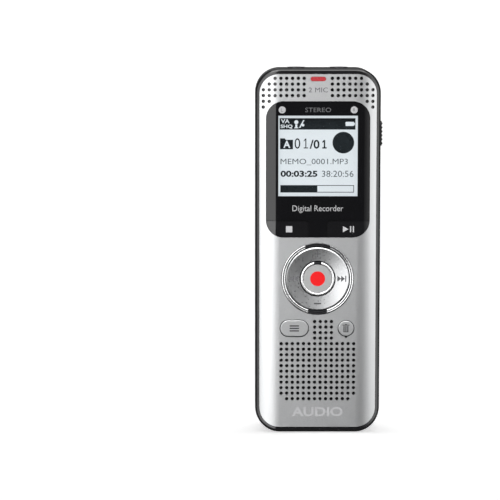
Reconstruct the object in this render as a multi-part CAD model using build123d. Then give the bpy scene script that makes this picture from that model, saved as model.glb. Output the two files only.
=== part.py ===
from build123d import *
import math
import os

# A slim pocket voice recorder standing on its bottom end.
# Millimetres. +Z runs up the length, the front faces -Y, the origin is the middle of the bottom end.

# Case
body_width = 38.0
body_height = 111.0
body_depth = 21.0
corner_radius = 7.5
wall = 1.2
flat_half_width = 11.7
side_curve_radius = 16.0
rim_edge_radius = 0.9
rear_edge_radius = 5.0
tongue_thickness = 0.7
tongue_height = 0.9
seam_clearance = 0.1
seam_root_wall = 0.6
overrun = 1.0

# Front plate, and the web of the frame behind it
plate_thickness = 0.8
web_thickness = 1.0
plate_side_margin = 1.3
plate_top_margin = 1.7
plate_bottom_margin = 1.65
plate_corner_radius = 6.0
plate_clearance = 0.05

# Display
lens_half_width = 15.65
lens_height = 41.1
lens_top_margin = 9.95
lens_corner_radius = 5.2
lens_clearance = 0.1
view_half_width = 12.2
view_height = 24.1
view_top_margin = 14.35
window_margin = 0.5
window_corner_radius = 0.6
panel_margin = 1.8
panel_thickness = 1.4
backlight_thickness = 1.0
gasket_thickness = 0.3
holder_wall = 0.9
flex_width = 12.0
flex_thickness = 0.2
flex_drop = 3.2

# Keys
key_travel = 0.35
key_gap = 0.2
key_rest_gap = 0.1
key_edge_radius = 0.2
flange_overlap = 0.5
flange_gap = 0.15
flange_thickness = 0.5
stem_radius = 1.1
soft_key_height = 4.95
soft_key_spacing = 5.6
soft_key_corner_radius = 1.0
soft_key_reach = 40.0
soft_key_stem_x = 9.2
menu_key_width = 8.95
menu_key_height = 5.35
menu_key_x = -7.05
delete_key_diameter = 5.1
delete_key_x = 8.7
lower_keys_margin = 1.525
delete_pip_radius = 0.4

# Round navigation ring with the record key in its middle
nav_margin = 1.7
bezel_width = 1.2
bezel_gap = 0.2
bezel_proud = 0.15
bezel_clearance = 0.05
bezel_ridge_width = 0.65
nav_radius = 9.6
nav_hole_gap = 0.3
nav_dish_depth = 0.5
nav_dish_sag = 0.02
nav_rim_width = 0.3
nav_rim_drop = 0.15
nav_sink = 0.05
nav_back_depth = 1.5
support_margin = 0.4
support_hole_margin = 0.5
support_thickness = 0.7
support_gap = 0.45
nub_radius = 0.7
nub_hole_clearance = 0.4
record_key_radius = 4.33
trim_width = 0.87
trim_edge_radius = 0.39
trim_sink = 0.2
record_face_sink = 0.35
record_dot_radius = 2.27
record_dot_height = 0.5
record_dot_proud = 0.05
record_skirt_thickness = 0.5
trim_height = 0.9
record_stem_radius = 3.0
record_flange_gap = 0.5
record_flange_thickness = 0.4

# Circuit board and key mat
board_depth = 5.5
board_thickness = 1.0
board_side_gap = 0.3
mat_standoff = 0.95
mat_thickness = 0.6
mat_half_width = 15.5
mat_rib = 0.8
mat_post_radius = 0.8
dome_radius = 1.9
dome_top_radius = 1.0
dome_height = 0.4
chip_height = 0.7
chip_margin = 1.0
processor_size = 7.0
processor_gap = 1.5
memory_width = 12.0
memory_length = 18.0
crystal_length = 3.2
crystal_width = 1.6
crystal_x = 6.5
crystal_drop = 6.0
resistor_length = 1.6
resistor_width = 0.8
resistor_height = 0.6
resistor_rows = 5
resistor_x = 9.0
resistor_stagger = 2.2
resistor_pitch = 2.4
coil_x = -13.0
coil_length = 3.5
coil_height = 1.6
coil_pitch = 5.0
regulator_width = 3.0
regulator_length = 2.8
regulator_height = 1.2

# Grille and microphone holes
hole_diameter = 1.05
grille_pitch = 1.7
grille_columns = 14
grille_bottom_row_z = 10.35
grille_margin = 1.0
grille_neck_columns = (6, 7, 8, 9)
mic_pitch_x = 1.75
mic_pitch_z = 1.735
mic_first_x = 4.25
mic_top_margin = 2.95
mic_rows = ((0, 5), (0, 6), (0, 7), (0, 7), (6, 7), (7, 7))

# Loudspeaker
speaker_radius = 10.0
speaker_bottom = 7.6
speaker_seat_width = 0.9
speaker_rim_depth = 1.8
speaker_back_thickness = 0.5
speaker_top_margin = 0.8
speaker_gasket_thickness = 0.3
magnet_radius = 5.0
magnet_height = 1.1
cone_thickness = 0.2
cone_flat_margin = 1.0
cone_depth = 0.5
cloth_thickness = 0.2
lead_radius = 0.25
lead_spacing = 3.0
lead_inset = 1.8

# Microphone capsules
capsule_x = 7.2
capsule_radius = 3.0
capsule_depth = 2.4
boot_wall = 0.6
capsule_top_margin = 6.1
mic_port_radius = 2.6

# Status light
light_width = 4.6
light_height = 1.3
light_top_margin = 3.15
led_height = 0.6

# Jacks
jack_x = 6.5
jack_bore_radius = 1.8
jack_bore_length = 13.5
jack_barrel_radius = 2.7
jack_proud = 0.2
jack_width = 6.4
jack_depth = 7.3
jack_axis_from_board = 4.5
jack_shell_gap = 0.2
jack_end_wall = 1.2
jack_hole_clearance = 0.1
contact_thickness = 0.3
contact_height = 1.6
contact_pitch = 3.5
contact_depth = 3.2
contacts_per_side = 3

# Micro-USB socket
usb_width = 7.6
usb_depth = 2.7
usb_length = 5.5
usb_wall = 0.3
usb_chamfer = 0.6
usb_recess = 0.3
usb_slot_clearance = 0.15
usb_back_wall = 0.5
usb_tongue_width = 3.8
usb_tongue_thickness = 0.6
usb_tongue_length = 3.6

# Power slider on the right-hand side
slider_top_margin = 20.0
slider_length = 7.6
slider_width = 2.8
slider_corner_radius = 0.93
slider_travel = 1.5
slider_proud = 0.85
slider_edge_gap = 0.2
slider_bezel_length = 14.0
slider_bezel_width = 4.4
slider_bezel_proud = 0.2
slider_bezel_corner = 1.2
slider_foot_length = 10.6
slider_foot_width = 3.6
slider_foot_thickness = 0.6
ridge_count = 6
ridge_pitch = 1.215
ridge_width = 0.6
ridge_height = 0.25
switch_length = 8.0
switch_width = 4.0
switch_height = 3.15
switch_gap = 1.2
lever_length = 1.4
lever_thickness = 1.2
lever_depth = 0.8
lever_clearance = 0.2
board_notch_margin = 1.0
board_notch_depth = 2.0

# Battery bay, two AAA cells side by side
cell_diameter = 10.5
cell_length = 44.5
cell_nub_height = 1.0
cell_nub_radius = 1.9
cell_edge_radius = 0.3
cell_gap = 0.7
cell_door_gap = 0.5
cell_floor_gap = 0.2
bay_bottom = 9.6
bay_wall = 1.0
bay_floor = 1.2
bay_side_gap = 0.35
contact_plate = 0.4
contact_margin = 1.0
spring_wire_radius = 0.3
spring_radius = 2.9
spring_length = 3.6
spring_turns = 3

# Battery door, hinged at its bottom edge
door_gap = 0.2
door_overlap = 1.0
door_top_overlap = 2.0
door_barrel_radius = 0.8
door_pin_radius = 0.4
door_pin_length = 1.0
door_pin_clearance = 0.06
socket_block = 1.5
door_tab_thickness = 0.6
door_tab_depth = 1.2
door_tab_half_width = 4.0
door_groove_count = 3
door_groove_pitch = 1.6
door_groove_width = 0.7
door_groove_depth = 0.4
door_groove_half_length = 5.0
door_groove_margin = 3.0

# Case screws
screw_x = 13.4
screw_end_margin = 5.2
screw_top_margin = 6.8
screw_radius = 0.8
screw_head_radius = 1.5
screw_head_height = 0.9
screw_cross_width = 0.45
screw_cross_depth = 0.45
screw_clearance = 0.05
screw_shell_clearance = 0.1
screw_board_clearance = 0.15
screw_grip = 3.2
boss_radius = 2.3
well_radius = 1.8
well_wall = 1.0
seat_depth = 4.0

# Places that follow from the sizes above
front_y = -body_depth / 2
back_y = body_depth / 2
plate_back = front_y + plate_thickness
web_back = plate_back + web_thickness
board_front = front_y + board_depth
board_back = board_front + board_thickness
parting_y = board_back + 2 * (tongue_height + seam_clearance)
mat_back = board_front - mat_standoff
mat_front = mat_back - mat_thickness
stem_end = mat_front - key_travel - key_rest_gap
lens_top = body_height - lens_top_margin
lens_bottom = lens_top - lens_height
view_top = body_height - view_top_margin
view_bottom = view_top - view_height
trim_radius = record_key_radius + trim_width
nav_hole_radius = trim_radius + nav_hole_gap
support_radius = nav_radius - support_margin
support_hole_radius = nav_hole_radius + support_hole_margin
nub_circle_radius = (support_radius + support_hole_radius) / 2
record_flange_radius = nub_circle_radius - nub_radius - record_flange_gap
bezel_inner_radius = nav_radius + bezel_gap
bezel_radius = bezel_inner_radius + bezel_width
nav_z = lens_bottom - nav_margin - bezel_radius
lower_keys_z = nav_z - bezel_radius - lower_keys_margin - menu_key_height / 2
lower_keys_bottom = lower_keys_z - menu_key_height / 2
grille_full_rows = int((lower_keys_bottom - grille_margin - grille_bottom_row_z) / grille_pitch)
grille_rows = int((nav_z - bezel_radius - grille_margin - grille_bottom_row_z) / grille_pitch)
soft_key_top = lens_bottom + soft_key_height
soft_key_z = lens_bottom + soft_key_height / 2
slider_y = parting_y
slider_z = body_height - slider_top_margin
jack_hole_depth = wall + seam_clearance + tongue_thickness + jack_shell_gap
speaker_z = speaker_bottom + speaker_radius
capsule_z = body_height - capsule_top_margin
light_z = body_height - light_top_margin
jack_y = board_back + jack_axis_from_board
cell_y = back_y - wall - cell_door_gap - cell_diameter / 2
cell_x = (cell_diameter + cell_gap) / 2
bay_length = cell_length + spring_length + 2 * contact_plate
bay_top = bay_bottom + bay_length
bay_half_width = cell_x + cell_diameter / 2 + bay_side_gap
door_half_width = bay_half_width - door_gap
bay_floor_back = cell_y - cell_diameter / 2 - cell_floor_gap
door_bottom = bay_bottom - door_overlap
door_top = bay_top + door_top_overlap
hinge_y = back_y - door_barrel_radius
hinge_z = door_bottom + door_barrel_radius
screw_seat_y = board_back + seat_depth
screw_places = [(side * screw_x, z) for side in (-1, 1)
                for z in (screw_end_margin, body_height - screw_top_margin)]
jack_bottom = body_height + jack_proud - jack_bore_length - jack_end_wall
memory_z = jack_bottom - chip_margin - memory_length / 2
processor_z = memory_z - memory_length / 2 - processor_gap - processor_size / 2
crystal_z = processor_z - crystal_drop
case_half_width = body_width / 2


def across(sketch, y_from, y_to):
    """Extrude a sketch drawn in X and Z from one depth to another."""
    plane = Plane(origin=(0, y_from, 0), x_dir=(1, 0, 0), z_dir=(0, -1, 0))
    return extrude(plane * sketch, amount=y_to - y_from, dir=(0, 1, 0))


def panel(half_width, z_from, z_to, radius):
    """Sketch a rounded rectangle centred on X between two heights."""
    return Pos(0, (z_from + z_to) / 2) * RectangleRounded(2 * half_width, z_to - z_from, radius)


def outline(inset):
    """Sketch the case's outline, drawn in by an inset."""
    return panel(case_half_width - inset, inset, body_height - inset, corner_radius - inset)


def disc(radius, x, z):
    """Sketch a disc."""
    return Pos(x, z) * Circle(radius)


def pill(width, height, x, z):
    """Sketch a bar with fully round ends."""
    return Pos(x, z) * SlotOverall(width, height)


def block(x_from, x_to, y_from, y_to, z_from, z_to):
    """Make a box from its limits along each axis."""
    size = (x_to - x_from, y_to - y_from, z_to - z_from)
    return Pos(x_from, y_from, z_from) * Box(*size, align=(Align.MIN, Align.MIN, Align.MIN))


def turned(points, z):
    """Turn a closed outline, given as radius and depth, about an axis along Y at a height."""
    return Pos(0, 0, z) * revolve(make_face(Polyline(*points, close=True)), Axis.Y, 360)


def surface_point(depth, part):
    """Return a point of the front's right-hand curve: part runs from 0 at the flat to 1 past the edge."""
    radius = side_curve_radius - depth
    turn = part * math.asin((case_half_width + overrun - flat_half_width) / radius)
    x = flat_half_width + radius * math.sin(turn)
    return (x, front_y + side_curve_radius - radius * math.cos(turn))


def behind_front(depth):
    """Make everything that lies behind the front surface, moved back by a depth."""
    right = [surface_point(depth, part) for part in (0, 0.5, 1)]
    left = [(-x, y) for x, y in right]
    far_right = (right[2][0], back_y + overrun)
    far_left = (left[2][0], back_y + overrun)
    edges = [
        Line(left[0], right[0]),
        ThreePointArc(*right),
        Line(right[2], far_right),
        Line(far_right, far_left),
        Line(far_left, left[2]),
        ThreePointArc(left[2], left[1], left[0]),
    ]
    return Pos(0, 0, -overrun) * extrude(make_face(edges), body_height + 2 * overrun)


def skin(sketch, depth_from, depth_to):
    """Make a plate that follows the front surface between two depths."""
    prism = across(sketch, front_y - overrun, board_front)
    return (prism & behind_front(depth_from)) - behind_front(depth_to)


def case_block(inset):
    """Make the rear half's full block with its rounded back edge, drawn in by an inset."""
    shape = across(outline(inset), parting_y, back_y - inset)
    rim = shape.faces().sort_by(Axis.Y)[-1].edges()
    return fillet(rim, rear_edge_radius - inset)


def plate_outline(grow):
    """Sketch the front plate's outline, grown by a clearance."""
    half_width = case_half_width - plate_side_margin + grow
    top = body_height - plate_top_margin + grow
    return panel(half_width, plate_bottom_margin - grow, top, plate_corner_radius + grow)


def lens_outline(grow):
    """Sketch the whole display glass with its two keys, grown by a clearance."""
    radius = lens_corner_radius + grow
    return panel(lens_half_width + grow, lens_bottom - grow, lens_top + grow, radius)


def soft_key_outline(side, grow):
    """Sketch one of the two keys at the foot of the display glass, grown by a clearance."""
    inner = soft_key_spacing / 2 - grow
    top = soft_key_top + grow
    corner = Pos(side * (inner + soft_key_reach / 2), top - soft_key_reach / 2)
    area = corner * RectangleRounded(soft_key_reach, soft_key_reach, soft_key_corner_radius)
    return lens_outline(grow) & area


def menu_outline(grow):
    """Sketch the menu key, grown by a clearance."""
    width = menu_key_width - 2 * key_gap + 2 * grow
    height = menu_key_height - 2 * key_gap + 2 * grow
    return pill(width, height, menu_key_x, lower_keys_z)


def delete_outline(grow):
    """Sketch the delete key, grown by a clearance."""
    return disc(delete_key_diameter / 2 - key_gap + grow, delete_key_x, lower_keys_z)


def light_outline(grow):
    """Sketch the status light's window, grown by a clearance."""
    return pill(light_width + 2 * grow, light_height + 2 * grow, 0, light_z)


def grille_holes():
    """List the loudspeaker hole centres."""
    places = []
    middle = (grille_columns - 1) / 2
    for row in range(grille_rows + 1):
        columns = range(grille_columns)
        if row == 0:
            columns = range(1, grille_columns - 1)
        if row > grille_full_rows:
            columns = grille_neck_columns
        z = grille_bottom_row_z + row * grille_pitch
        places += [((column - middle) * grille_pitch, z) for column in columns]
    return places


def mic_holes():
    """List the microphone hole centres on both sides of the status light."""
    places = []
    for row, (first, last) in enumerate(mic_rows):
        z = body_height - mic_top_margin - row * mic_pitch_z
        for column in range(first, last + 1):
            x = mic_first_x + column * mic_pitch_x
            places += [(x, z), (-x, z)]
    return places


def front_plate():
    """Silver front plate with its key openings, grille and microphone holes."""
    holes = Sketch() + [disc(hole_diameter / 2, x, z) for x, z in grille_holes() + mic_holes()]
    openings = [
        lens_outline(lens_clearance),
        disc(bezel_radius + bezel_clearance, 0, nav_z),
        menu_outline(key_gap),
        delete_outline(key_gap),
        light_outline(plate_clearance),
        disc(delete_pip_radius, delete_key_x, lower_keys_z - delete_key_diameter / 2),
    ]
    plate = skin(plate_outline(0), 0, plate_thickness)
    for opening in openings:
        plate -= across(opening, front_y - overrun, board_front)
    return plate - across(holes, front_y - overrun, board_front)


def front_frame():
    """Black frame: the rim round the plate, the web behind it, and the front half's walls."""
    shape = across(outline(0), front_y - overrun, parting_y) & behind_front(0)
    shape = fillet(rim_edges(shape), rim_edge_radius)
    pocket = across(plate_outline(plate_clearance), front_y - overrun, board_front)
    shape -= pocket - behind_front(plate_thickness)
    depth = plate_thickness + web_thickness
    shape -= across(outline(wall), front_y - overrun, parting_y + overrun) & behind_front(depth)
    return cut_frame_openings(shape)


def rim_edges(shape):
    """List the edges where the case's sides meet its front surface."""
    front = [face for face in shape.faces() if is_front(face)]
    near = [edge for face in front for edge in face.edges()]
    return [edge for edge in shape.edges() if sum(edge.is_same(other) for other in near) == 1]


def is_front(face):
    """Tell whether a face belongs to the front surface and not to the sides or the back."""
    return face.normal_at().Y < 0 and face.bounding_box().size.Y < parting_y - front_y - overrun


def cut_frame_openings(shape):
    """Cut the web's windows and key openings, the socket slot and the slider opening; add the bosses."""
    window = panel(view_half_width + window_margin, view_bottom - window_margin,
                   view_top + window_margin, window_corner_radius)
    openings = [
        window,
        disc(bezel_inner_radius + key_gap, 0, nav_z),
        soft_key_outline(-1, key_gap),
        soft_key_outline(1, key_gap),
        menu_outline(key_gap),
        delete_outline(key_gap),
        light_outline(plate_clearance),
        disc(speaker_radius - speaker_seat_width, 0, speaker_z),
        disc(mic_port_radius, capsule_x, capsule_z),
        disc(mic_port_radius, -capsule_x, capsule_z),
    ]
    for opening in openings:
        shape -= across(opening, front_y - overrun, board_front)
    for x, z in screw_places:
        shape += across(disc(boss_radius, x, z), web_back, board_front)
        shape -= across(disc(screw_radius + screw_clearance, x, z), board_front - screw_grip, board_front)
    return shape - usb_slot() - slider_opening() - jack_holes()


def usb_slot():
    """Make the slot that the socket's mouth shows through."""
    half_width = usb_width / 2 + usb_slot_clearance
    y_from = board_front - usb_depth - usb_slot_clearance
    return block(-half_width, half_width, y_from, board_front + usb_slot_clearance, -overrun, wall + overrun)


def side_pill(length, width, corner, x_from, x_to):
    """Make a rounded bar on the case's right-hand side, lying along Z."""
    plane = Plane(origin=(x_from, slider_y, slider_z), x_dir=(0, 0, 1), z_dir=(1, 0, 0))
    return extrude(plane * RectangleRounded(length, width, corner), amount=x_to - x_from)


def slider_opening():
    """Make the opening in the side wall that the slider's bezel fills."""
    grow = 2 * seam_clearance
    corner = slider_bezel_corner + seam_clearance
    length = slider_bezel_length + grow
    x_from = case_half_width - wall - 2 * overrun
    return side_pill(length, slider_bezel_width + grow, corner, x_from, case_half_width + overrun)


def seam_tongue():
    """Make the rear shell's tongue, which steps into the front frame, and the root that it grows from."""
    inner = outline(wall + seam_clearance + tongue_thickness)
    tongue = across(outline(wall + seam_clearance) - inner, parting_y - tongue_height, parting_y)
    root = across(outline(seam_root_wall) - inner, parting_y, parting_y + tongue_height)
    return tongue + root


def bay_walls():
    """Make the battery bay: a floor behind the board and four walls up to the door and the rear wall."""
    outer = bay_half_width + bay_wall
    wall_end = back_y - wall - door_gap
    low = bay_bottom - bay_wall
    high = bay_top + bay_wall
    box = block(-outer, outer, bay_floor_back - bay_floor, wall_end, low, high)
    for side in (-1, 1):
        x_from, x_to = sorted((side * bay_half_width, side * outer))
        box += block(x_from, x_to, bay_floor_back, back_y - seam_root_wall, low, high)
    room = block(-bay_half_width, bay_half_width, bay_floor_back, back_y, bay_bottom, bay_top)
    barrel_front = hinge_y - door_barrel_radius - door_gap
    barrel_top = hinge_z + door_barrel_radius + door_gap
    relief = block(-bay_half_width, bay_half_width, barrel_front, back_y, low - overrun, barrel_top)
    return box - room - relief


def rear_shell():
    """Black rear shell with the battery bay, the screw wells and the hinge sockets."""
    outer = case_block(0)
    hollow = case_block(wall)
    shell = outer - hollow + seam_tongue()
    core = across(outline(wall + seam_clearance), board_back, back_y) & (outer + seam_block())
    for x, z in screw_places:
        column = across(disc(well_radius + well_wall, x, z), board_back, back_y)
        shell += column & core
    shell += bay_walls()
    shell += socket_blocks() & outer
    for x, z in screw_places:
        shell -= across(disc(well_radius, x, z), screw_seat_y, back_y + overrun)
        shell -= across(disc(screw_radius + screw_shell_clearance, x, z), board_back - overrun, screw_seat_y)
    shell -= hinge_pins(door_pin_clearance, socket_block)
    return shell - jack_holes() - door_opening() - slider_opening()


def jack_holes():
    """Make the two holes that the jacks' barrels pass through."""
    height = jack_hole_depth + overrun
    hole = Cylinder(jack_barrel_radius + jack_hole_clearance, height,
                    align=(Align.CENTER, Align.CENTER, Align.MIN))
    return Part() + [Pos(side * jack_x, jack_y, body_height - jack_hole_depth) * hole for side in (-1, 1)]


def seam_block():
    """Make the room between the board and the seam, inside the front frame's walls."""
    return across(outline(wall + seam_clearance), board_back, parting_y)


def door_opening():
    """Make the opening in the rear wall for the battery door."""
    half_width = door_half_width + door_gap
    y_from = back_y - wall - seam_clearance
    return block(-half_width, half_width, y_from, back_y + overrun, door_bottom - door_gap,
                 door_top + door_gap)


def socket_blocks():
    """Make the two thick spots that hold the door's hinge pins."""
    low = hinge_z - socket_block
    high = hinge_z + socket_block
    inner = door_half_width + door_gap
    front = hinge_y - socket_block
    right = block(inner, inner + socket_block, front, back_y, low, high)
    return right + mirror(right, Plane.YZ)


def hinge_pins(clearance, length):
    """Make the two pins that stand out of the door's barrel, grown by a clearance."""
    pins = []
    for side in (-1, 1):
        middle = side * (door_half_width + length / 2)
        pin = Rot(0, 90, 0) * Cylinder(door_pin_radius + clearance, length)
        pins.append(Pos(middle, hinge_y, hinge_z) * pin)
    return Part() + pins


def battery_door():
    """Flat door over the cells, with a hinge barrel and pins at its foot and a latch tab at its head."""
    inner_y = back_y - wall
    leaf = block(-door_half_width, door_half_width, inner_y, back_y, hinge_z, door_top)
    barrel = Pos(0, hinge_y, hinge_z) * Rot(0, 90, 0) * Cylinder(door_barrel_radius, 2 * door_half_width)
    tab_low = bay_top + bay_wall + door_gap
    tab = block(-door_tab_half_width, door_tab_half_width, inner_y - door_tab_depth, inner_y, tab_low,
                tab_low + door_tab_thickness)
    door = leaf + barrel + tab + hinge_pins(0, door_pin_length)
    for index in range(door_groove_count):
        z = door_top - door_groove_margin - index * door_groove_pitch
        groove = block(-door_groove_half_length, door_groove_half_length, back_y - door_groove_depth,
                       back_y + overrun, z - door_groove_width / 2, z + door_groove_width / 2)
        door -= groove
    return door


def display_lens():
    """Glass over the display, which follows the front surface and leaves room for the two keys."""
    lens = skin(lens_outline(0), 0, plate_thickness)
    for side in (-1, 1):
        lens -= across(soft_key_outline(side, key_gap), front_y - overrun, board_front)
    return lens


def soft_key(side):
    """One key at the foot of the display glass: a cap, a flange behind the web and a stem."""
    depth = plate_thickness + web_thickness + flange_gap
    cap = skin(soft_key_outline(side, 0), 0, depth)
    inner = soft_key_outline(side, flange_overlap)
    flange = skin(inner, depth, depth + flange_thickness)
    stem = across(disc(stem_radius, side * soft_key_stem_x, soft_key_z), front_y + depth, stem_end)
    return cap + flange + stem


def flat_key(sketch, wide_sketch, x):
    """One lower key: a cap with a soft edge, a flange behind the web and a stem."""
    flange_front = web_back + flange_gap
    cap = across(sketch, front_y, flange_front)
    cap = fillet(cap.faces().sort_by(Axis.Y)[0].edges(), key_edge_radius)
    flange = across(wide_sketch, flange_front, flange_front + flange_thickness)
    stem = across(disc(stem_radius, x, lower_keys_z), flange_front, stem_end)
    return cap + flange + stem


def nav_bezel():
    """Bright fixed ring round the navigation ring, with two ridges and a groove between them."""
    groove = bezel_radius - bezel_ridge_width
    edges = [Line((bezel_inner_radius, plate_back), (bezel_inner_radius, front_y))]
    for low, high in ((bezel_inner_radius, groove), (groove, bezel_radius)):
        crest = ((low + high) / 2, front_y - bezel_proud)
        edges.append(ThreePointArc((low, front_y), crest, (high, front_y)))
    edges.append(Line((bezel_radius, front_y), (bezel_radius, plate_back)))
    edges.append(Line((bezel_radius, plate_back), (bezel_inner_radius, plate_back)))
    return Pos(0, 0, nav_z) * revolve(make_face(edges), Axis.Y, 360)


def nav_ring():
    """Dished ring that tilts four ways, with a nub at its left and right to press the side switches."""
    rim_y = front_y + nav_sink
    dish_y = rim_y + nav_dish_depth
    back = front_y + nav_back_depth
    rim_radius = nav_radius - nav_rim_width
    dish_middle = ((rim_radius + nav_hole_radius) / 2, (rim_y + dish_y) / 2 + nav_dish_sag)
    edges = [
        Line((nav_hole_radius, back), (nav_hole_radius, dish_y)),
        ThreePointArc((nav_hole_radius, dish_y), dish_middle, (rim_radius, rim_y)),
        Line((rim_radius, rim_y), (nav_radius, rim_y + nav_rim_drop)),
        Line((nav_radius, rim_y + nav_rim_drop), (nav_radius, back)),
        Line((nav_radius, back), (nav_hole_radius, back)),
    ]
    ring = Pos(0, 0, nav_z) * revolve(make_face(edges), Axis.Y, 360)
    for side in (-1, 1):
        ring += across(disc(nub_radius, side * nub_circle_radius, nav_z), back, stem_end)
    return ring


def nav_support_ring():
    """Carrier under the navigation ring, with a nub at its top and bottom for the other two switches."""
    front = front_y + nav_back_depth + support_gap
    back = front + support_thickness
    ring = across(disc(support_radius, 0, nav_z) - disc(support_hole_radius, 0, nav_z), front, back)
    for side in (-1, 1):
        hole = disc(nub_radius + nub_hole_clearance, side * nub_circle_radius, nav_z)
        ring -= across(hole, front - overrun, back + overrun)
        ring += across(disc(nub_radius, 0, nav_z + side * nub_circle_radius), back, stem_end)
    return ring


def record_key():
    """Round centre key with a pocket for its red dot, a stem and a retaining flange."""
    face = front_y + record_face_sink
    skirt = front_y + trim_sink + trim_height
    skirt_back = skirt + record_skirt_thickness
    flange = stem_end - record_flange_thickness
    key = across(disc(record_key_radius, 0, nav_z), face, skirt)
    key += across(disc(trim_radius, 0, nav_z), skirt, skirt_back)
    key += across(disc(record_stem_radius, 0, nav_z), skirt_back, flange)
    key += across(disc(record_flange_radius, 0, nav_z), flange, stem_end)
    return key - across(disc(record_dot_radius, 0, nav_z), face - overrun, face + record_dot_height)


def record_key_trim():
    """Bright rounded ring on the record key's edge."""
    top = front_y + trim_sink
    ring = across(disc(trim_radius, 0, nav_z) - disc(record_key_radius, 0, nav_z), top, top + trim_height)
    edges = ring.faces().sort_by(Axis.Y)[0].edges()
    return fillet(edges, trim_edge_radius)


def record_dot():
    """Red dot set into the record key."""
    face = front_y + record_face_sink
    return across(disc(record_dot_radius, 0, nav_z), face - record_dot_proud, face + record_dot_height)


def switch_places():
    """List the centres of the nine dome switches under the keys."""
    places = [(0, nav_z), (menu_key_x, lower_keys_z), (delete_key_x, lower_keys_z)]
    for side in (-1, 1):
        places.append((side * nub_circle_radius, nav_z))
        places.append((0, nav_z + side * nub_circle_radius))
        places.append((side * soft_key_stem_x, soft_key_z))
    return places


def mat_area(inset):
    """Sketch the key mat's outline, drawn in by an inset."""
    low = speaker_z + speaker_radius + speaker_top_margin + inset
    high = soft_key_top + mat_rib - inset
    return panel(mat_half_width - inset, low, high, mat_rib)


def rubber_keypad():
    """Rubber mat under the keys, held off the board by a rib and pressing each switch with a post."""
    mat = across(mat_area(0), mat_front, mat_back)
    mat += across(mat_area(0) - mat_area(mat_rib), mat_back, board_front)
    for x, z in switch_places():
        mat += across(disc(mat_post_radius, x, z), mat_back, board_front - dome_height)
    return mat


def dome_switches():
    """Nine metal snap domes on the board."""
    domes = []
    for x, z in switch_places():
        dome = Rot(90, 0, 0) * Cone(dome_radius, dome_top_radius, dome_height)
        domes.append(Pos(x, board_front - dome_height / 2, z) * dome)
    return Part() + domes


def main_board():
    """Circuit board, notched for the slider and drilled for the screws."""
    board = across(outline(wall + board_side_gap), board_front, board_back)
    board &= behind_front(plate_thickness + web_thickness + board_side_gap)
    half = slider_bezel_length / 2 + board_notch_margin
    notch_x = case_half_width - wall - board_notch_depth
    board -= block(notch_x, case_half_width, board_front - overrun, board_back + overrun,
                   slider_z - half, slider_z + half)
    for x, z in screw_places:
        board -= across(disc(screw_radius + screw_board_clearance, x, z), board_front - overrun,
                        board_back + overrun)
    return board


def chip(width, length, x, z, height):
    """Make one chip on the back of the board."""
    return block(x - width / 2, x + width / 2, board_back, board_back + height, z - length / 2,
                 z + length / 2)


def board_parts():
    """Small resistors, a coil and a regulator on the back of the board, beside the chips."""
    parts = []
    for row in range(resistor_rows):
        for side in (-1, 1):
            x = side * (resistor_x + row % 2 * resistor_stagger)
            z = crystal_z + row * resistor_pitch
            parts.append(chip(resistor_length, resistor_width, x, z, resistor_height))
    parts.append(chip(coil_length, coil_length, coil_x, memory_z - coil_pitch, coil_height))
    parts.append(chip(regulator_width, regulator_length, coil_x, memory_z, regulator_height))
    return Part() + parts


def lcd_panel():
    """Liquid-crystal panel behind the glass."""
    front = web_back + gasket_thickness
    return across(panel_area(0), front, front + panel_thickness)


def panel_area(grow):
    """Sketch the display panel's outline, grown all round."""
    grown = panel_margin + grow
    return Pos(0, (view_bottom + view_top) / 2) * Rectangle(
        2 * (view_half_width + grown), view_height + 2 * grown)


def display_gasket():
    """Foam frame between the web and the panel."""
    hole = Pos(0, (view_bottom + view_top) / 2) * Rectangle(
        2 * (view_half_width + window_margin), view_height + 2 * window_margin)
    foam = across(panel_area(0) - hole, web_back, web_back + gasket_thickness)
    return foam & behind_front(plate_thickness + web_thickness)


def lcd_backlight():
    """Light guide behind the panel."""
    front = web_back + gasket_thickness + panel_thickness
    return across(panel_area(0), front, front + backlight_thickness)


def lcd_holder():
    """White tray that holds the panel and its light guide off the board."""
    back = web_back + gasket_thickness + panel_thickness + backlight_thickness
    tray = across(panel_area(holder_wall + seam_clearance), web_back + gasket_thickness, board_front)
    tray &= behind_front(plate_thickness + web_thickness)
    tray -= across(panel_area(seam_clearance), web_back, back)
    room = across(panel_area(-2 * holder_wall), back - overrun, board_front - holder_wall / 2)
    slot = flex_width / 2 + seam_clearance
    low = view_bottom - panel_margin - 3 * holder_wall
    gap = block(-slot, slot, web_back, web_back + gasket_thickness + panel_thickness, low, view_bottom)
    return tray - room - gap


def lcd_flex():
    """Flat ribbon from the panel's foot down to the board."""
    y_back = web_back + gasket_thickness + panel_thickness
    y_front = y_back - flex_thickness
    top = view_bottom - panel_margin
    low = top - flex_drop
    half = flex_width / 2
    drop = block(-half, half, y_front, y_back, low, top)
    turn = block(-half, half, y_front, board_front, low, low + flex_thickness)
    return drop + turn


def speaker_back():
    """Return the depth of the loudspeaker basket's back."""
    return web_back + speaker_gasket_thickness + speaker_rim_depth


def speaker_frame():
    """Loudspeaker basket: a rim and a back plate with a hole for the magnet."""
    front = web_back + speaker_gasket_thickness
    back = speaker_back()
    inner = speaker_radius - speaker_seat_width
    plate = back - speaker_back_thickness
    points = [(inner, front), (speaker_radius, front), (speaker_radius, back), (magnet_radius, back),
              (magnet_radius, plate), (inner, plate)]
    return turned(points, speaker_z)


def speaker_magnet():
    """Magnet and cup in the middle of the loudspeaker."""
    front = speaker_back() - speaker_back_thickness
    return across(disc(magnet_radius, 0, speaker_z), front, front + magnet_height)


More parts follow.
